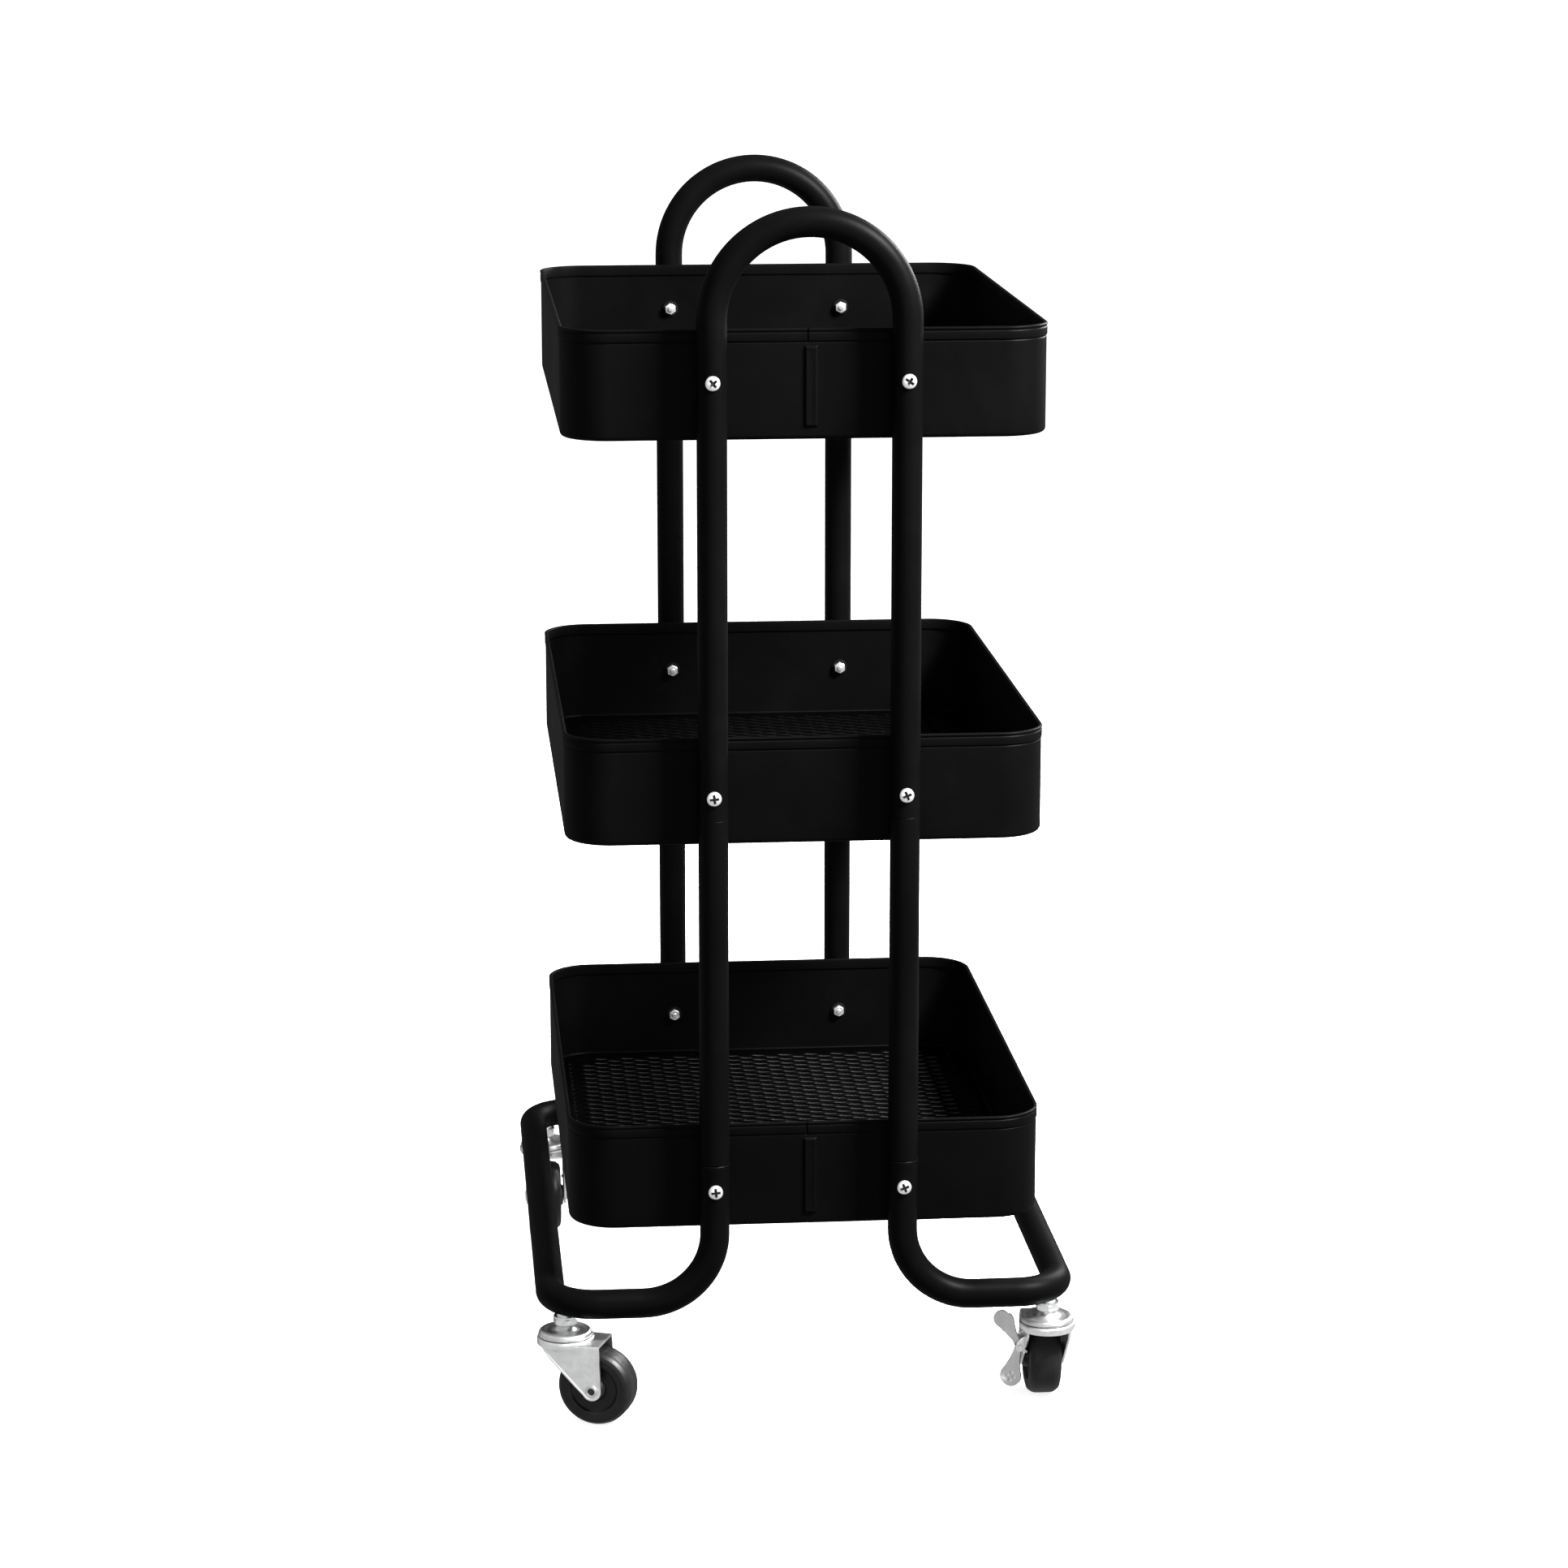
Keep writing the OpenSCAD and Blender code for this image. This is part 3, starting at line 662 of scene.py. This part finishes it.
def build_lattice():
    bm = bmesh.new()
    ni, nj = int(IN_W / (LWD / 2)) + 2, int(IN_L / (SWD / 2)) + 2
    for i in range(-ni, ni + 1):
        for j in range(-nj, nj + 1):
            if (i + j) % 2:
                continue
            cx, cy = i * LWD / 2, j * SWD / 2
            far = min(border_gap(cx + dx, cy + dy) for dx, dy in ((LWD / 2, 0), (-LWD / 2, 0), (0, SWD / 2), (0, -SWD / 2), (0, 0)))
            near = max(border_gap(cx + dx, cy + dy) for dx, dy in ((LWD / 2, 0), (-LWD / 2, 0), (0, SWD / 2), (0, -SWD / 2), (0, 0)))
            if near < -1.0:
                continue
            V, F = mesh_unit(cx, cy)
            vs = [bm.verts.new(v) for v in V]
            for f in F:
                bm.faces.new([vs[k] for k in f])
    bmesh.ops.remove_doubles(bm, verts=bm.verts, dist=0.01)
    # trim inside the plain edge
    planes = [((IN_W + 4, 0, 0), (1, 0, 0)), ((-IN_W - 4, 0, 0), (-1, 0, 0)), ((0, IN_L + 4, 0), (0, 1, 0)), ((0, -IN_L - 4, 0), (0, -1, 0))]
    for sx in (-1, 1):
        for sy in (-1, 1):
            for a in (22.5, 45.0, 67.5):
                d = (sx * cos(rad(a)), sy * sin(rad(a)), 0.0)
                c = (sx * (IN_W - IN_R), sy * (IN_L - IN_R), 0.0)
                planes.append(((c[0] + d[0] * (IN_R + 4), c[1] + d[1] * (IN_R + 4), 0), d))
    for co, no in planes:
        bmesh.ops.bisect_plane(bm, geom=bm.verts[:] + bm.edges[:] + bm.faces[:], dist=0.0005, plane_co=co, plane_no=no, clear_outer=True)
    edges = [e for e in bm.edges if e.is_boundary]
    bmesh.ops.holes_fill(bm, edges=edges, sides=0)
    bmesh.ops.recalc_face_normals(bm, faces=bm.faces)
    V = [tuple(v.co) for v in bm.verts]
    for i, v in enumerate(bm.verts):
        v.index = i
    F = [tuple(v.index for v in f.verts) for f in bm.faces]
    bm.free()
    return V, F


LATTICE = build_lattice()
edge_prof = rnd([(22.0, -0.6), (31.0, -0.6), (31.0, 0.6), (22.0, 0.6)], 0.25, True, 2)
edge_rows = []
for cx, cy, dx, dy in rounded_path(2 * (IN_W - IN_R) + 2 * 22.0, 2 * (IN_L - IN_R) + 2 * 22.0, 22.0, 16, (14, 18)):
    row = []
    for px, pz in edge_prof:
        x, y = cx + dx * px, cy + dy * px
        row.append((x, y, pz))
    edge_rows.append(row)
edge_rows.append(edge_rows[0])
EDGE = grid(edge_rows, True)
# the outer corners are pulled in to the basket's own corner radius
EV = []
for x, y, z in EDGE[0]:
    qx, qy = abs(x) - 122.2, abs(y) - 169.7
    if qx > 0 and qy > 0 and sqrt(qx * qx + qy * qy) > 27.0:
        s = 27.0 / sqrt(qx * qx + qy * qy)
        x, y = math.copysign(122.2 + qx * s, x), math.copysign(169.7 + qy * s, y)
    EV.append((x, y, z))
EDGE = (EV, EDGE[1])
for tier in ("top", "middle", "bottom"):
    zc = RIM[tier] - BASKET_H + 1.0 + SHEET / 2
    M = Matrix.Translation((0, 0, zc))
    o = raw("mesh_floor_" + tier, [move(LATTICE, M), move(EDGE, M)], merge=0.0005, recalc=False)
    bm = bmesh.new()
    bm.from_mesh(o.data)
    bmesh.ops.recalc_face_normals(bm, faces=bm.faces)
    bm.to_mesh(o.data)
    bm.free()
    # the floor mesh takes the darker copy of the coat: painted shade on the top faces that face the key light
    finish_piece(o, "frame", "black_powder_coat", ["basket_floor_" + tier], 50, MESH_PAINTED_SHADE)
    # the strands' faces that turn towards -Y get a much lighter copy of the coat: painted light standing in for the
    # bright floor seen through the openings
    o.data.materials.append(MESH_PAINTED_LIGHT)
    for p in o.data.polygons:
        q = p.center * 1000.0
        if abs(p.normal.z) < 0.4 and abs(p.normal.y) > 0.3 and border_gap(q.x, q.y) > 0.8:
            p.material_index = 1

# ------------------------------------------------------------------ basket fasteners
TO_Y = Matrix.Rotation(-PI / 2, 4, "X")
GRIP = 22.5


def screw_places(z):
    return [Matrix.Rotation(PI * e, 4, "Z") @ Matrix.Translation((s * LEG_X, -LEG_Y - TUBE_R, z)) for s in (-1, 1) for e in (0, 1)]


def phillips_screw():
    head = [(0.0, 0.0), (4.62, 0.0), (4.7, -0.1), (4.7, -0.45)]
    for a in range(8, 91, 6):
        head.append((4.7 * cos(rad(a)) if a < 90 else 0.0, -0.45 - 2.15 * sin(rad(a)) ** 0.9))
    body = raw("screw_body", [lathe(head, 64, False)])
    tools = []
    for q in (0.0, 90.0):
        hw0, hl0, hw1, hl1 = 1.00, 3.90, 0.50, 1.60
        V = [(-hl0, -hw0, -3.2), (hl0, -hw0, -3.2), (hl0, hw0, -3.2), (-hl0, hw0, -3.2), (-hl1, -hw1, -0.55), (hl1, -hw1, -0.55), (hl1, hw1, -0.55), (-hl1, hw1, -0.55)]
        F = [(0, 1, 2, 3), (7, 6, 5, 4), (0, 4, 5, 1), (1, 5, 6, 2), (2, 6, 7, 3), (3, 7, 4, 0)]
        tools.append(raw("recess_tool", [move((V, F), Matrix.Rotation(rad(q + 18.0), 4, "Z"))]))
    cut(body, tools)
    bevel(body, 0.07, 2, 35)
    part = mesh_parts(body)
    bpy.data.objects.remove(body)
    return part


HEAD = move(phillips_screw(), TO_Y)
SHANK = move(lathe([(0, 0.1), (1.9, 0.1), (1.9, GRIP - 4), (0, GRIP - 4)], 28, False), TO_Y)
TIP = move(thread(2.0, 0.32, 0.7, GRIP - 4.2, GRIP + 1.2 + 3.2 + 1.3), TO_Y)
NUT = move(hexagon(7.0, GRIP + 1.2, GRIP + 4.4, 1.75, False, True), TO_Y)
WASHER = move(lathe(rnd([(2.3, GRIP), (5.5, GRIP), (5.5, GRIP + 1.2), (2.3, GRIP + 1.2)], [0.1, 0.1, 0.35, 0.2], True, 3), 56), TO_Y)


def saddle_pad():
    r = 6.5
    pts = []
    for k in range(13):
        x = -r + 2 * r * k / 12
        pts.append((x, TUBE_R + sqrt(TUBE_R ** 2 - x * x)))
    pts += [(r, 21.45), (-r, 21.45)]
    o = raw("pad_tmp", [prism(pts, -7.0, 7.0)])
    bevel(o, 0.7, 3, 50)
    p = mesh_parts(o)
    bpy.data.objects.remove(o)
    return p


PAD = saddle_pad()
for tier in ("top", "middle", "bottom"):
    places = screw_places(SCREW_Z[tier])
    scr, nut, wsh, pad = [], [], [], []
    for i, M in enumerate(places):
        spin = Matrix.Rotation(rad(37.0 * i + 11.0 * len(tier)), 4, "Y")
        scr += [move(HEAD, M @ spin), move(SHANK, M), move(TIP, M @ spin)]
        nut.append(move(NUT, M @ Matrix.Rotation(rad((0, 4, -3, 6)[i]), 4, "Y")))
        wsh.append(move(WASHER, M))
        pad.append(move(PAD, M))
    o = finish_piece(raw("phillips_screws_" + tier, scr, 0.0005), "frame", "zinc_plate", ["screws_" + tier], 32, ZINC_BOLT)
    # the faces inside each cross recess take the near-black zinc: painted shade in the recess
    o.data.materials.append(ZINC_PAINTED_SHADE)
    back = [M.inverted() for M in places]
    for p in o.data.polygons:
        c = p.center * 1000.0
        for B in back:
            q = B @ c
            r = sqrt(q.x * q.x + q.z * q.z)
            if r < 3.3 and -2.7 < q.y < -0.3 and q.y > -0.45 - 2.15 * sin(math.acos(r / 4.7)) ** 0.9 + 0.09:
                p.material_index = 1
    finish_piece(raw("hex_nuts_" + tier, nut), "frame", "zinc_plate", ["nuts_" + tier], 32, ZINC_BOLT)
    finish_piece(raw("basket_washers_" + tier, wsh), "frame", "black_nylon", ["washers_" + tier], 40)
    finish_piece(raw("tube_saddles_" + tier, pad, 0.0005), "frame", "black_nylon", ["saddle_pads_" + tier], 40)

# ------------------------------------------------------------------ casters
R_CAP, HALF, X_BACK, SHEET_F = 18.4, 14.2, 27.0, 1.5


def side_bulge(x):
    """Outer face of the fork's shoulder beside the race: round, then flat with the leg."""
    c = sqrt(max(R_CAP ** 2 - x * x, 0.0))
    k = 1.6 * smooth(-11.0, 0.0, x)
    if k < 1e-4:
        return max(c, HALF)
    h = max(k - abs(c - HALF), 0.0) / k
    return max(c, HALF) + h * h * k / 4


def leg_bottom(x):
    if x <= -11.6:
        return 51.9
    line = 50.0 - 29.3 / 29.0 * (x + 11.6)
    line = line + 1.9 * (1 - smooth(-11.6, -7.0, x))
    if x <= 17.4:
        return line
    return AXLE_Z - sqrt(max(6.3 ** 2 - (x - TRAIL) ** 2, 0.0))


def edge_distance(x, z):
    """Distance inside the leg's outline, seen from the side."""
    d_low = (z - (50.0 - 29.3 / 29.0 * (x + 11.6))) * 0.7035
    x_tr = X_BACK + 1.3 * min(55.5 - z, 30.5) / 30.5
    d = min(d_low, x_tr - x) if z >= AXLE_Z - 4.0 or x < 17.4 else 1e9
    if z < AXLE_Z or (x < 19.0 and z < 30):
        dc = 6.3 - sqrt((x - TRAIL) ** 2 + (z - AXLE_Z) ** 2)
        if z < AXLE_Z:
            d = dc if x > 17.4 else min(d, max(dc, d_low))
    return d


def fork_shell():
    cols = []  # (Qx, Qy, nx, ny, kind) for the +Y half, from the front round to the middle of the back
    for k in range(11):
        t = PI - rad(50.9) * k / 10
        cols.append((R_CAP * cos(t), R_CAP * sin(t), cos(t), sin(t), "front"))
    for k in range(1, 19):
        x = -11.6 + 24.1 * k / 18
        y, e = side_bulge(x), 0.05
        s = (side_bulge(x + e) - side_bulge(x - e)) / (2 * e)
        n = Vector((-s, 1.0)).normalized()
        cols.append((x, y, n.x, n.y, "side"))
    for x in (13.4, 14.6, 15.8):
        cols.append((x, side_bulge(x), 0.0, 1.0, "side"))
    for k in range(15):
        x25 = TRAIL + 6.3 * cos(rad(136.9 * (1 - k / 14)))
        cols.append(((x25 + 0.7647) / 1.07647, HALF, 0.0, 1.0, "side"))
    last = len(cols) - 1
    for y in (11.2, 9.4, 7.5, 5.6, 3.7, 1.85, 0.0):
        cols.append((X_BACK, y, 1.0, 0.0, "back"))
    near = [(5.2, 55.5), (8.5, 55.5), (11.0, 55.45), (13.0, 55.15), (15.0, 55.45), (15.8, 55.75), (16.3, 56.2), (16.7, 56.55), (17.1, 56.7), (17.5, 56.62), (17.9, 56.35), (18.2, 55.9), (18.4, 55.3)]
    far = [(5.2, 55.5), (8.5, 55.5), (11.0, 55.45), (13.0, 55.15), (15.0, 55.45), (15.8, 55.75), (16.3, 56.2), (16.7, 56.55), (17.1, 56.7), (17.5, 56.62), (17.95, 56.3), (18.45, 55.85), (18.9, 55.6)]
    BR = 1.7
    top, curtain = [], []
    for qx, qy, nx, ny, kind in cols:
        Q = Vector((qx, qy))
        ql = Q.length
        u = Q / ql
        b = smooth(18.55, 20.6, ql) if kind != "front" else 0.0
        col = []
        for i in range(22):
            if i <= 12:
                fr = near[i][0] + max(0.0, ql - R_CAP) * smooth(8, 12, i)
                pf = Vector((u.x * fr, u.y * fr, near[i][1]))
                pg = Vector((u.x * far[i][0], u.y * far[i][0], far[i][1]))
            else:
                pf = Vector((qx, qy, 55.3 - 1.5 * (i - 12) / 9.0))
                inner = Vector((u.x * 19.5, u.y * 19.5, 55.5))
                if kind == "back":
                    end = Vector((qx, qy, 55.5))
                    pg = inner.lerp(end, min(1.0, (i - 13) / 4.0))
                else:
                    end = Vector((qx - nx * BR, qy - ny * BR, 55.5))
                    if i <= 17:
                        pg = inner.lerp(end, (i - 13) / 4.0)
                    else:
                        a = PI / 2 * (i - 17) / 4.0
                        pg = Vector((qx - nx * BR * (1 - sin(a)), qy - ny * BR * (1 - sin(a)), 55.5 - BR * (1 - cos(a))))
            col.append(tuple(pf.lerp(pg, b)))
        top.append(col)
        if kind == "back":
            curtain.append(None)
            continue
        zt = 53.8
        x25 = qx + 1.3 * max(0.0, (qx - 10.0) / 17.0)
        zb = leg_bottom(x25 if x25 > 17.3 else qx)
        L = zt - zb
        near_edge = [d * min(1.0, L / 9.0) for d in (2.6, 2.0, 1.55, 1.15, 0.7, 0.3, 0.0)]
        zs = [zt - (L - near_edge[0]) * k / 16.0 for k in range(1, 16)] + [zb + d for d in near_edge]
        cc = []
        for z in zs:
            x = qx + 1.3 * max(0.0, (qx - 10.0) / 17.0) * min(55.5 - z, 30.5) / 30.5 if kind == "side" else qx
            if kind == "front":
                y = qy
            else:
                y = HALF + smooth(49.0, 53.4, z) * (side_bulge(qx) - HALF)
                e = 0.30 * (1 - smooth(0.75, 1.7, edge_distance(x, z))) * smooth(-11.0, -8.0, qx) * (1 - smooth(50.0, 53.0, z))
                y += e
            cc.append((x, y, z))
        curtain.append(cc)
    V, F = [], []

    def build(sign):
        base = len(V)
        idx_top, idx_cur = [], []
        for col in top:
            idx_top.append([len(V) + i for i in range(len(col))])
            V.extend([(x, sign * y, z) for x, y, z in col])
        for cc in curtain:
            if cc is None:
                idx_cur.append(None)
                continue
            idx_cur.append([len(V) + i for i in range(len(cc))])
            V.extend([(x, sign * y, z) for x, y, z in cc])
        for c in range(len(cols) - 1):
            rows_n = 22 if c < last else 18
            for i in range(rows_n - 1):
                q = (idx_top[c][i], idx_top[c + 1][i], idx_top[c + 1][i + 1], idx_top[c][i + 1])
                F.append(q if sign > 0 else q[::-1])
            if c < last:
                A, B = [idx_top[c][21]] + idx_cur[c], [idx_top[c + 1][21]] + idx_cur[c + 1]
                for i in range(len(A) - 1):
                    q = (A[i], B[i], B[i + 1], A[i + 1])
                    F.append(q if sign > 0 else q[::-1])

    build(1)
    build(-1)
    return V, F


def orient_out(o):
    """Makes an open shell's normals point up at its top plate."""
    me = o.data
    s = sum(p.normal.z * p.area for p in me.polygons if p.center.z > 0.0545)
    if s < 0:
        me.flip_normals()
    return o


def make_fork(braked):
    o = raw("fork_tmp", [fork_shell()], 0.003)
    orient_out(o)
    m = o.modifiers.new("sheet", "SOLIDIFY")
    m.thickness, m.offset, m.use_even_offset, m.use_quality_normals = SHEET_F * 0.001, -1.0, False, True
    settle(o)
    if braked:
        tool = raw("notch", [([(-20, 11.2, 30.0), (6.8, 11.2, 30.0), (6.8, 16.0, 30.0), (-20, 16.0, 30.0), (-20, 11.2, 38.2), (6.8, 11.2, 38.2), (6.8, 16.0, 38.2), (-20, 16.0, 38.2)],
                              [(0, 3, 2, 1), (4, 5, 6, 7), (0, 1, 5, 4), (1, 2, 6, 5), (2, 3, 7, 6), (3, 0, 4, 7)])])
        cut(o, [tool])
    bevel(o, 0.28, 2, 55)
    parts = [mesh_parts(o)]
    bpy.data.objects.remove(o)
    if braked:
        out = [(13.6, 46.0), (13.6, 38.4)] + [(17.4 + 3.0 * cos(rad(a)), 38.0 + 3.0 * sin(rad(a))) for a in range(230, 401, 17)] + [(19.8, 41.0), (16.6, 44.4)]
        for x in (0.0, 11.0):
            e = raw("ear", [prism(rnd(out, [0.3, 0.8] + [0] * 11 + [0.5, 2.0], True, 3), 0.0, 1.5)])
            bevel(e, 0.25, 2, 45)
            V, F = mesh_parts(e)
            bpy.data.objects.remove(e)
            parts.append(([(x + z, a, b) for a, b, z in V], F))
    return parts


FORK = {False: make_fork(False), True: make_fork(True)}

cap_prof = rnd([(4.1, 61.6), (6.0, 60.2), (10.8, 58.9), (15.3, 58.7), (16.3, 57.2), (17.5, 57.2), (17.5, 58.3), (16.9, 59.7), (15.7, 60.6), (14.3, 60.55), (12.0, 59.95), (9.2, 60.1), (7.3, 60.9), (5.9, 62.4), (5.2, 63.7), (4.1, 63.8)],
               [0, 0.6, 0.6, 0.5, 0.4, 0.25, 0.6, 1.0, 0.9, 0.9, 2.0, 2.4, 1.8, 1.8, 0.4, 0], True, 5)
CAP = lathe(cap_prof, 96)
STEM = [move(hexagon(14.0, 64.5, 69.0, 0.0, True, True, 120), Matrix.Rotation(PI / 6, 4, "Z")),
        lathe(rnd([(0, 51.6), (6.4, 51.6), (8.0, 52.4), (8.0, 53.8), (5.0, 53.8), (5.0, 59.6), (4.0, 60.6), (4.0, 64.6), (3.9, 66.0), (3.9, 85.0), (3.2, 86.0), (0, 86.0)], 0.35, False, 3), 48, False)]
axle_prof = rnd([(0, -14.2), (1.5, -14.25), (2.0, -14.6), (2.4, -15.05), (2.95, -15.3), (3.5, -15.15), (4.15, -14.75), (4.15, -14.1), (3.0, -14.1), (3.0, 14.1), (4.15, 14.1), (4.15, 14.75), (3.5, 15.15), (2.95, 15.3), (2.4, 15.05), (2.0, 14.6), (1.5, 14.25), (0, 14.2)], 0.25, False, 3)
AXLE = move(lathe(axle_prof, 48, False), Matrix.Translation((TRAIL, 0, AXLE_Z)) @ Matrix.Rotation(PI / 2, 4, "X"))


def wheel():
    w, hub, r = 10.5, 12.35, 25.0
    half = [(3.07, hub), (6.9, hub), (7.5, hub - 0.7), (8.3, w - 2.3), (9.2, w - 2.6), (14.4, w - 2.6), (15.2, w - 2.0), (15.9, w - 0.35), (16.6, w - 0.05), (20.6, w), (22.6, w - 0.6), (24.3, w - 3.0), (24.85, w - 4.8), (25.0, 3.0), (25.0, 0.22), (24.9, 0.0)]
    rads = [0.3, 0.6, 0.5, 0.8, 0.8, 0.7, 0.6, 0.6, 0.6, 1.2, 1.6, 1.6, 1.2, 0.8, 0.05, 0.05]
    pts = [(a, b) for a, b in half] + [(a, -b) for a, b in reversed(half[:-1])]
    rr = rads + list(reversed(rads[:-1]))
    return lathe(rnd(pts, rr, True, 4), 120)


WHEEL = move(wheel(), Matrix.Translation((TRAIL, 0, AXLE_Z)) @ Matrix.Rotation(PI / 2, 4, "X"))

PIV_Y, PIV_Z = 17.4, 38.0


def brake_pad(length, lean, twist, down, dots):
    r = 7.2
    ls = []
    n1, n2 = 34, 22
    for k in range(n1):
        ls.append(0.8 + (length - 1.2) * k / n1)
    for k in range(n2 + 1):
        a = PI / 2 * k / n2
        l0 = length - 0.4
        ls.append(l0 + (length + r - l0) * sin(a))
    rows = []
    cnum = 33
    for l in ls:
        if l < length - 2.0:
            w = 2.3 + 4.6 * max(0.0, (l - 1.9) / (length - 3.9)) ** 1.6
        else:
            w = sqrt(max(r * r - (l - length) ** 2, 0.0))
        row = []
        for c in range(cnum):
            s = -1 + 2 * c / (cnum - 1)
            s = math.copysign(1 - (1 - abs(s)) ** 1.25, s) if abs(s) > 0 else 0.0
            y = w * s
            if l > length:
                d = r - sqrt(y * y + (l - length) ** 2)
            else:
                d = (w - abs(y)) * 0.97
            dish = 0.75 * smooth(0.3, 4.6, d) * smooth(4.0, 11.0, l)
            rim = 0.22 * (1 - smooth(0.5, 1.5, d)) * smooth(5.0, 10.0, l)
            x = dish - rim
            if dots:
                for dy, dl in ((0.0, -1.4), (0.0, 3.4), (-2.4, 1.0), (2.4, 1.0)):
                    q = sqrt((y - dy) ** 2 + (l - length - dl) ** 2)
                    x -= 0.85 * (1 - smooth(0.2, 1.3, q))
            row.append((x - 0.5, y, l))
        rows.append(row)
    o = raw("pad_tmp", [grid(rows)], 0.003)
    if sum(p.normal.x * p.area for p in o.data.polygons) > 0:
        o.data.flip_normals()
    m = o.modifiers.new("sheet", "SOLIDIFY")
    m.thickness, m.offset = 0.00135, -1.0
    settle(o)
    bevel(o, 0.3, 2, 60)
    V, F = mesh_parts(o)
    bpy.data.objects.remove(o)
    M = Matrix.Translation((6.2, PIV_Y, PIV_Z)) @ Matrix.Rotation(-rad(lean), 4, "X") @ Matrix.Rotation(rad(twist), 4, "Z")
    V, F = move((V, F), M)
    if down:
        V = [(x, y, 2 * PIV_Z - z) for x, y, z in V]
        F = [f[::-1] for f in F]
    return V, F


def make_lever():
    hub = move(lathe(rnd([(1.32, 1.9), (2.6, 1.9), (2.6, 10.6), (1.32, 10.6)], [0, 0.4, 0.4, 0], True, 3), 40), Matrix.Translation((0, PIV_Y, PIV_Z)) @ Matrix.Rotation(PI / 2, 4, "Y"))
    t = raw("tongue", [prism([(0, -2.2), (-2, -0.8), (-5.8, -4.1), (-5.1, -5.4)], 3.6, 5.8)])
    bevel(t, 0.35, 2, 30)
    V, F = mesh_parts(t)
    bpy.data.objects.remove(t)
    tongue = ([(z, PIV_Y + a, PIV_Z + b) for a, b, z in V], F)
    return [hub, tongue, brake_pad(20.1, 29.5, -30.0, False, False), brake_pad(21.6, 13.7, -30.0, True, True)]


LEVER = make_lever()

for key, (cx, cy, ang) in CASTERS.items():
    M = Matrix.Translation((cx, cy, 0)) @ Matrix.Rotation(rad(ang), 4, "Z")
    braked = key in BRAKED
    finish_piece(raw("pressed_fork_" + key, [move(p, M) for p in FORK[braked]], 0.0005), "caster_" + key, "zinc_plate", ["fork_" + key], 38)
    finish_piece(raw("domed_cap_" + key, [move(CAP, M)]), "frame", "zinc_plate", ["race_cap_" + key], 38, ZINC_CAP)
    finish_piece(raw("hex_stem_" + key, [move(p, M) for p in STEM]), "frame", "zinc_plate", ["stem_" + key], 32)
    o = finish_piece(raw("riveted_axle_" + key, [move(AXLE, M)]), "caster_" + key, "zinc_plate", ["axle_" + key], 38, ZINC_CAP)
    # the faces in the axle ends' dimples take the near-black zinc: painted shade in the dimple
    o.data.materials.append(ZINC_PAINTED_SHADE)
    B = M.inverted()
    for p in o.data.polygons:
        q = B @ (p.center * 1000.0)
        if sqrt((q.x - TRAIL) ** 2 + (q.z - AXLE_Z) ** 2) < 2.25 and 14.15 < abs(q.y) < 14.95:
            p.material_index = 1
    finish_piece(raw("moulded_wheel_" + key, [move(WHEEL, M)]), "roller_" + key, "wheel_plastic", ["wheel_" + key], 38)
    if braked:
        finish_piece(raw("toggle_lever_" + key, [move(p, M) for p in LEVER], 0.0005), "brake_" + key, "zinc_plate", ["brake_lever_" + key], 38, ZINC_LEVER)

bpy.context.view_layer.update()
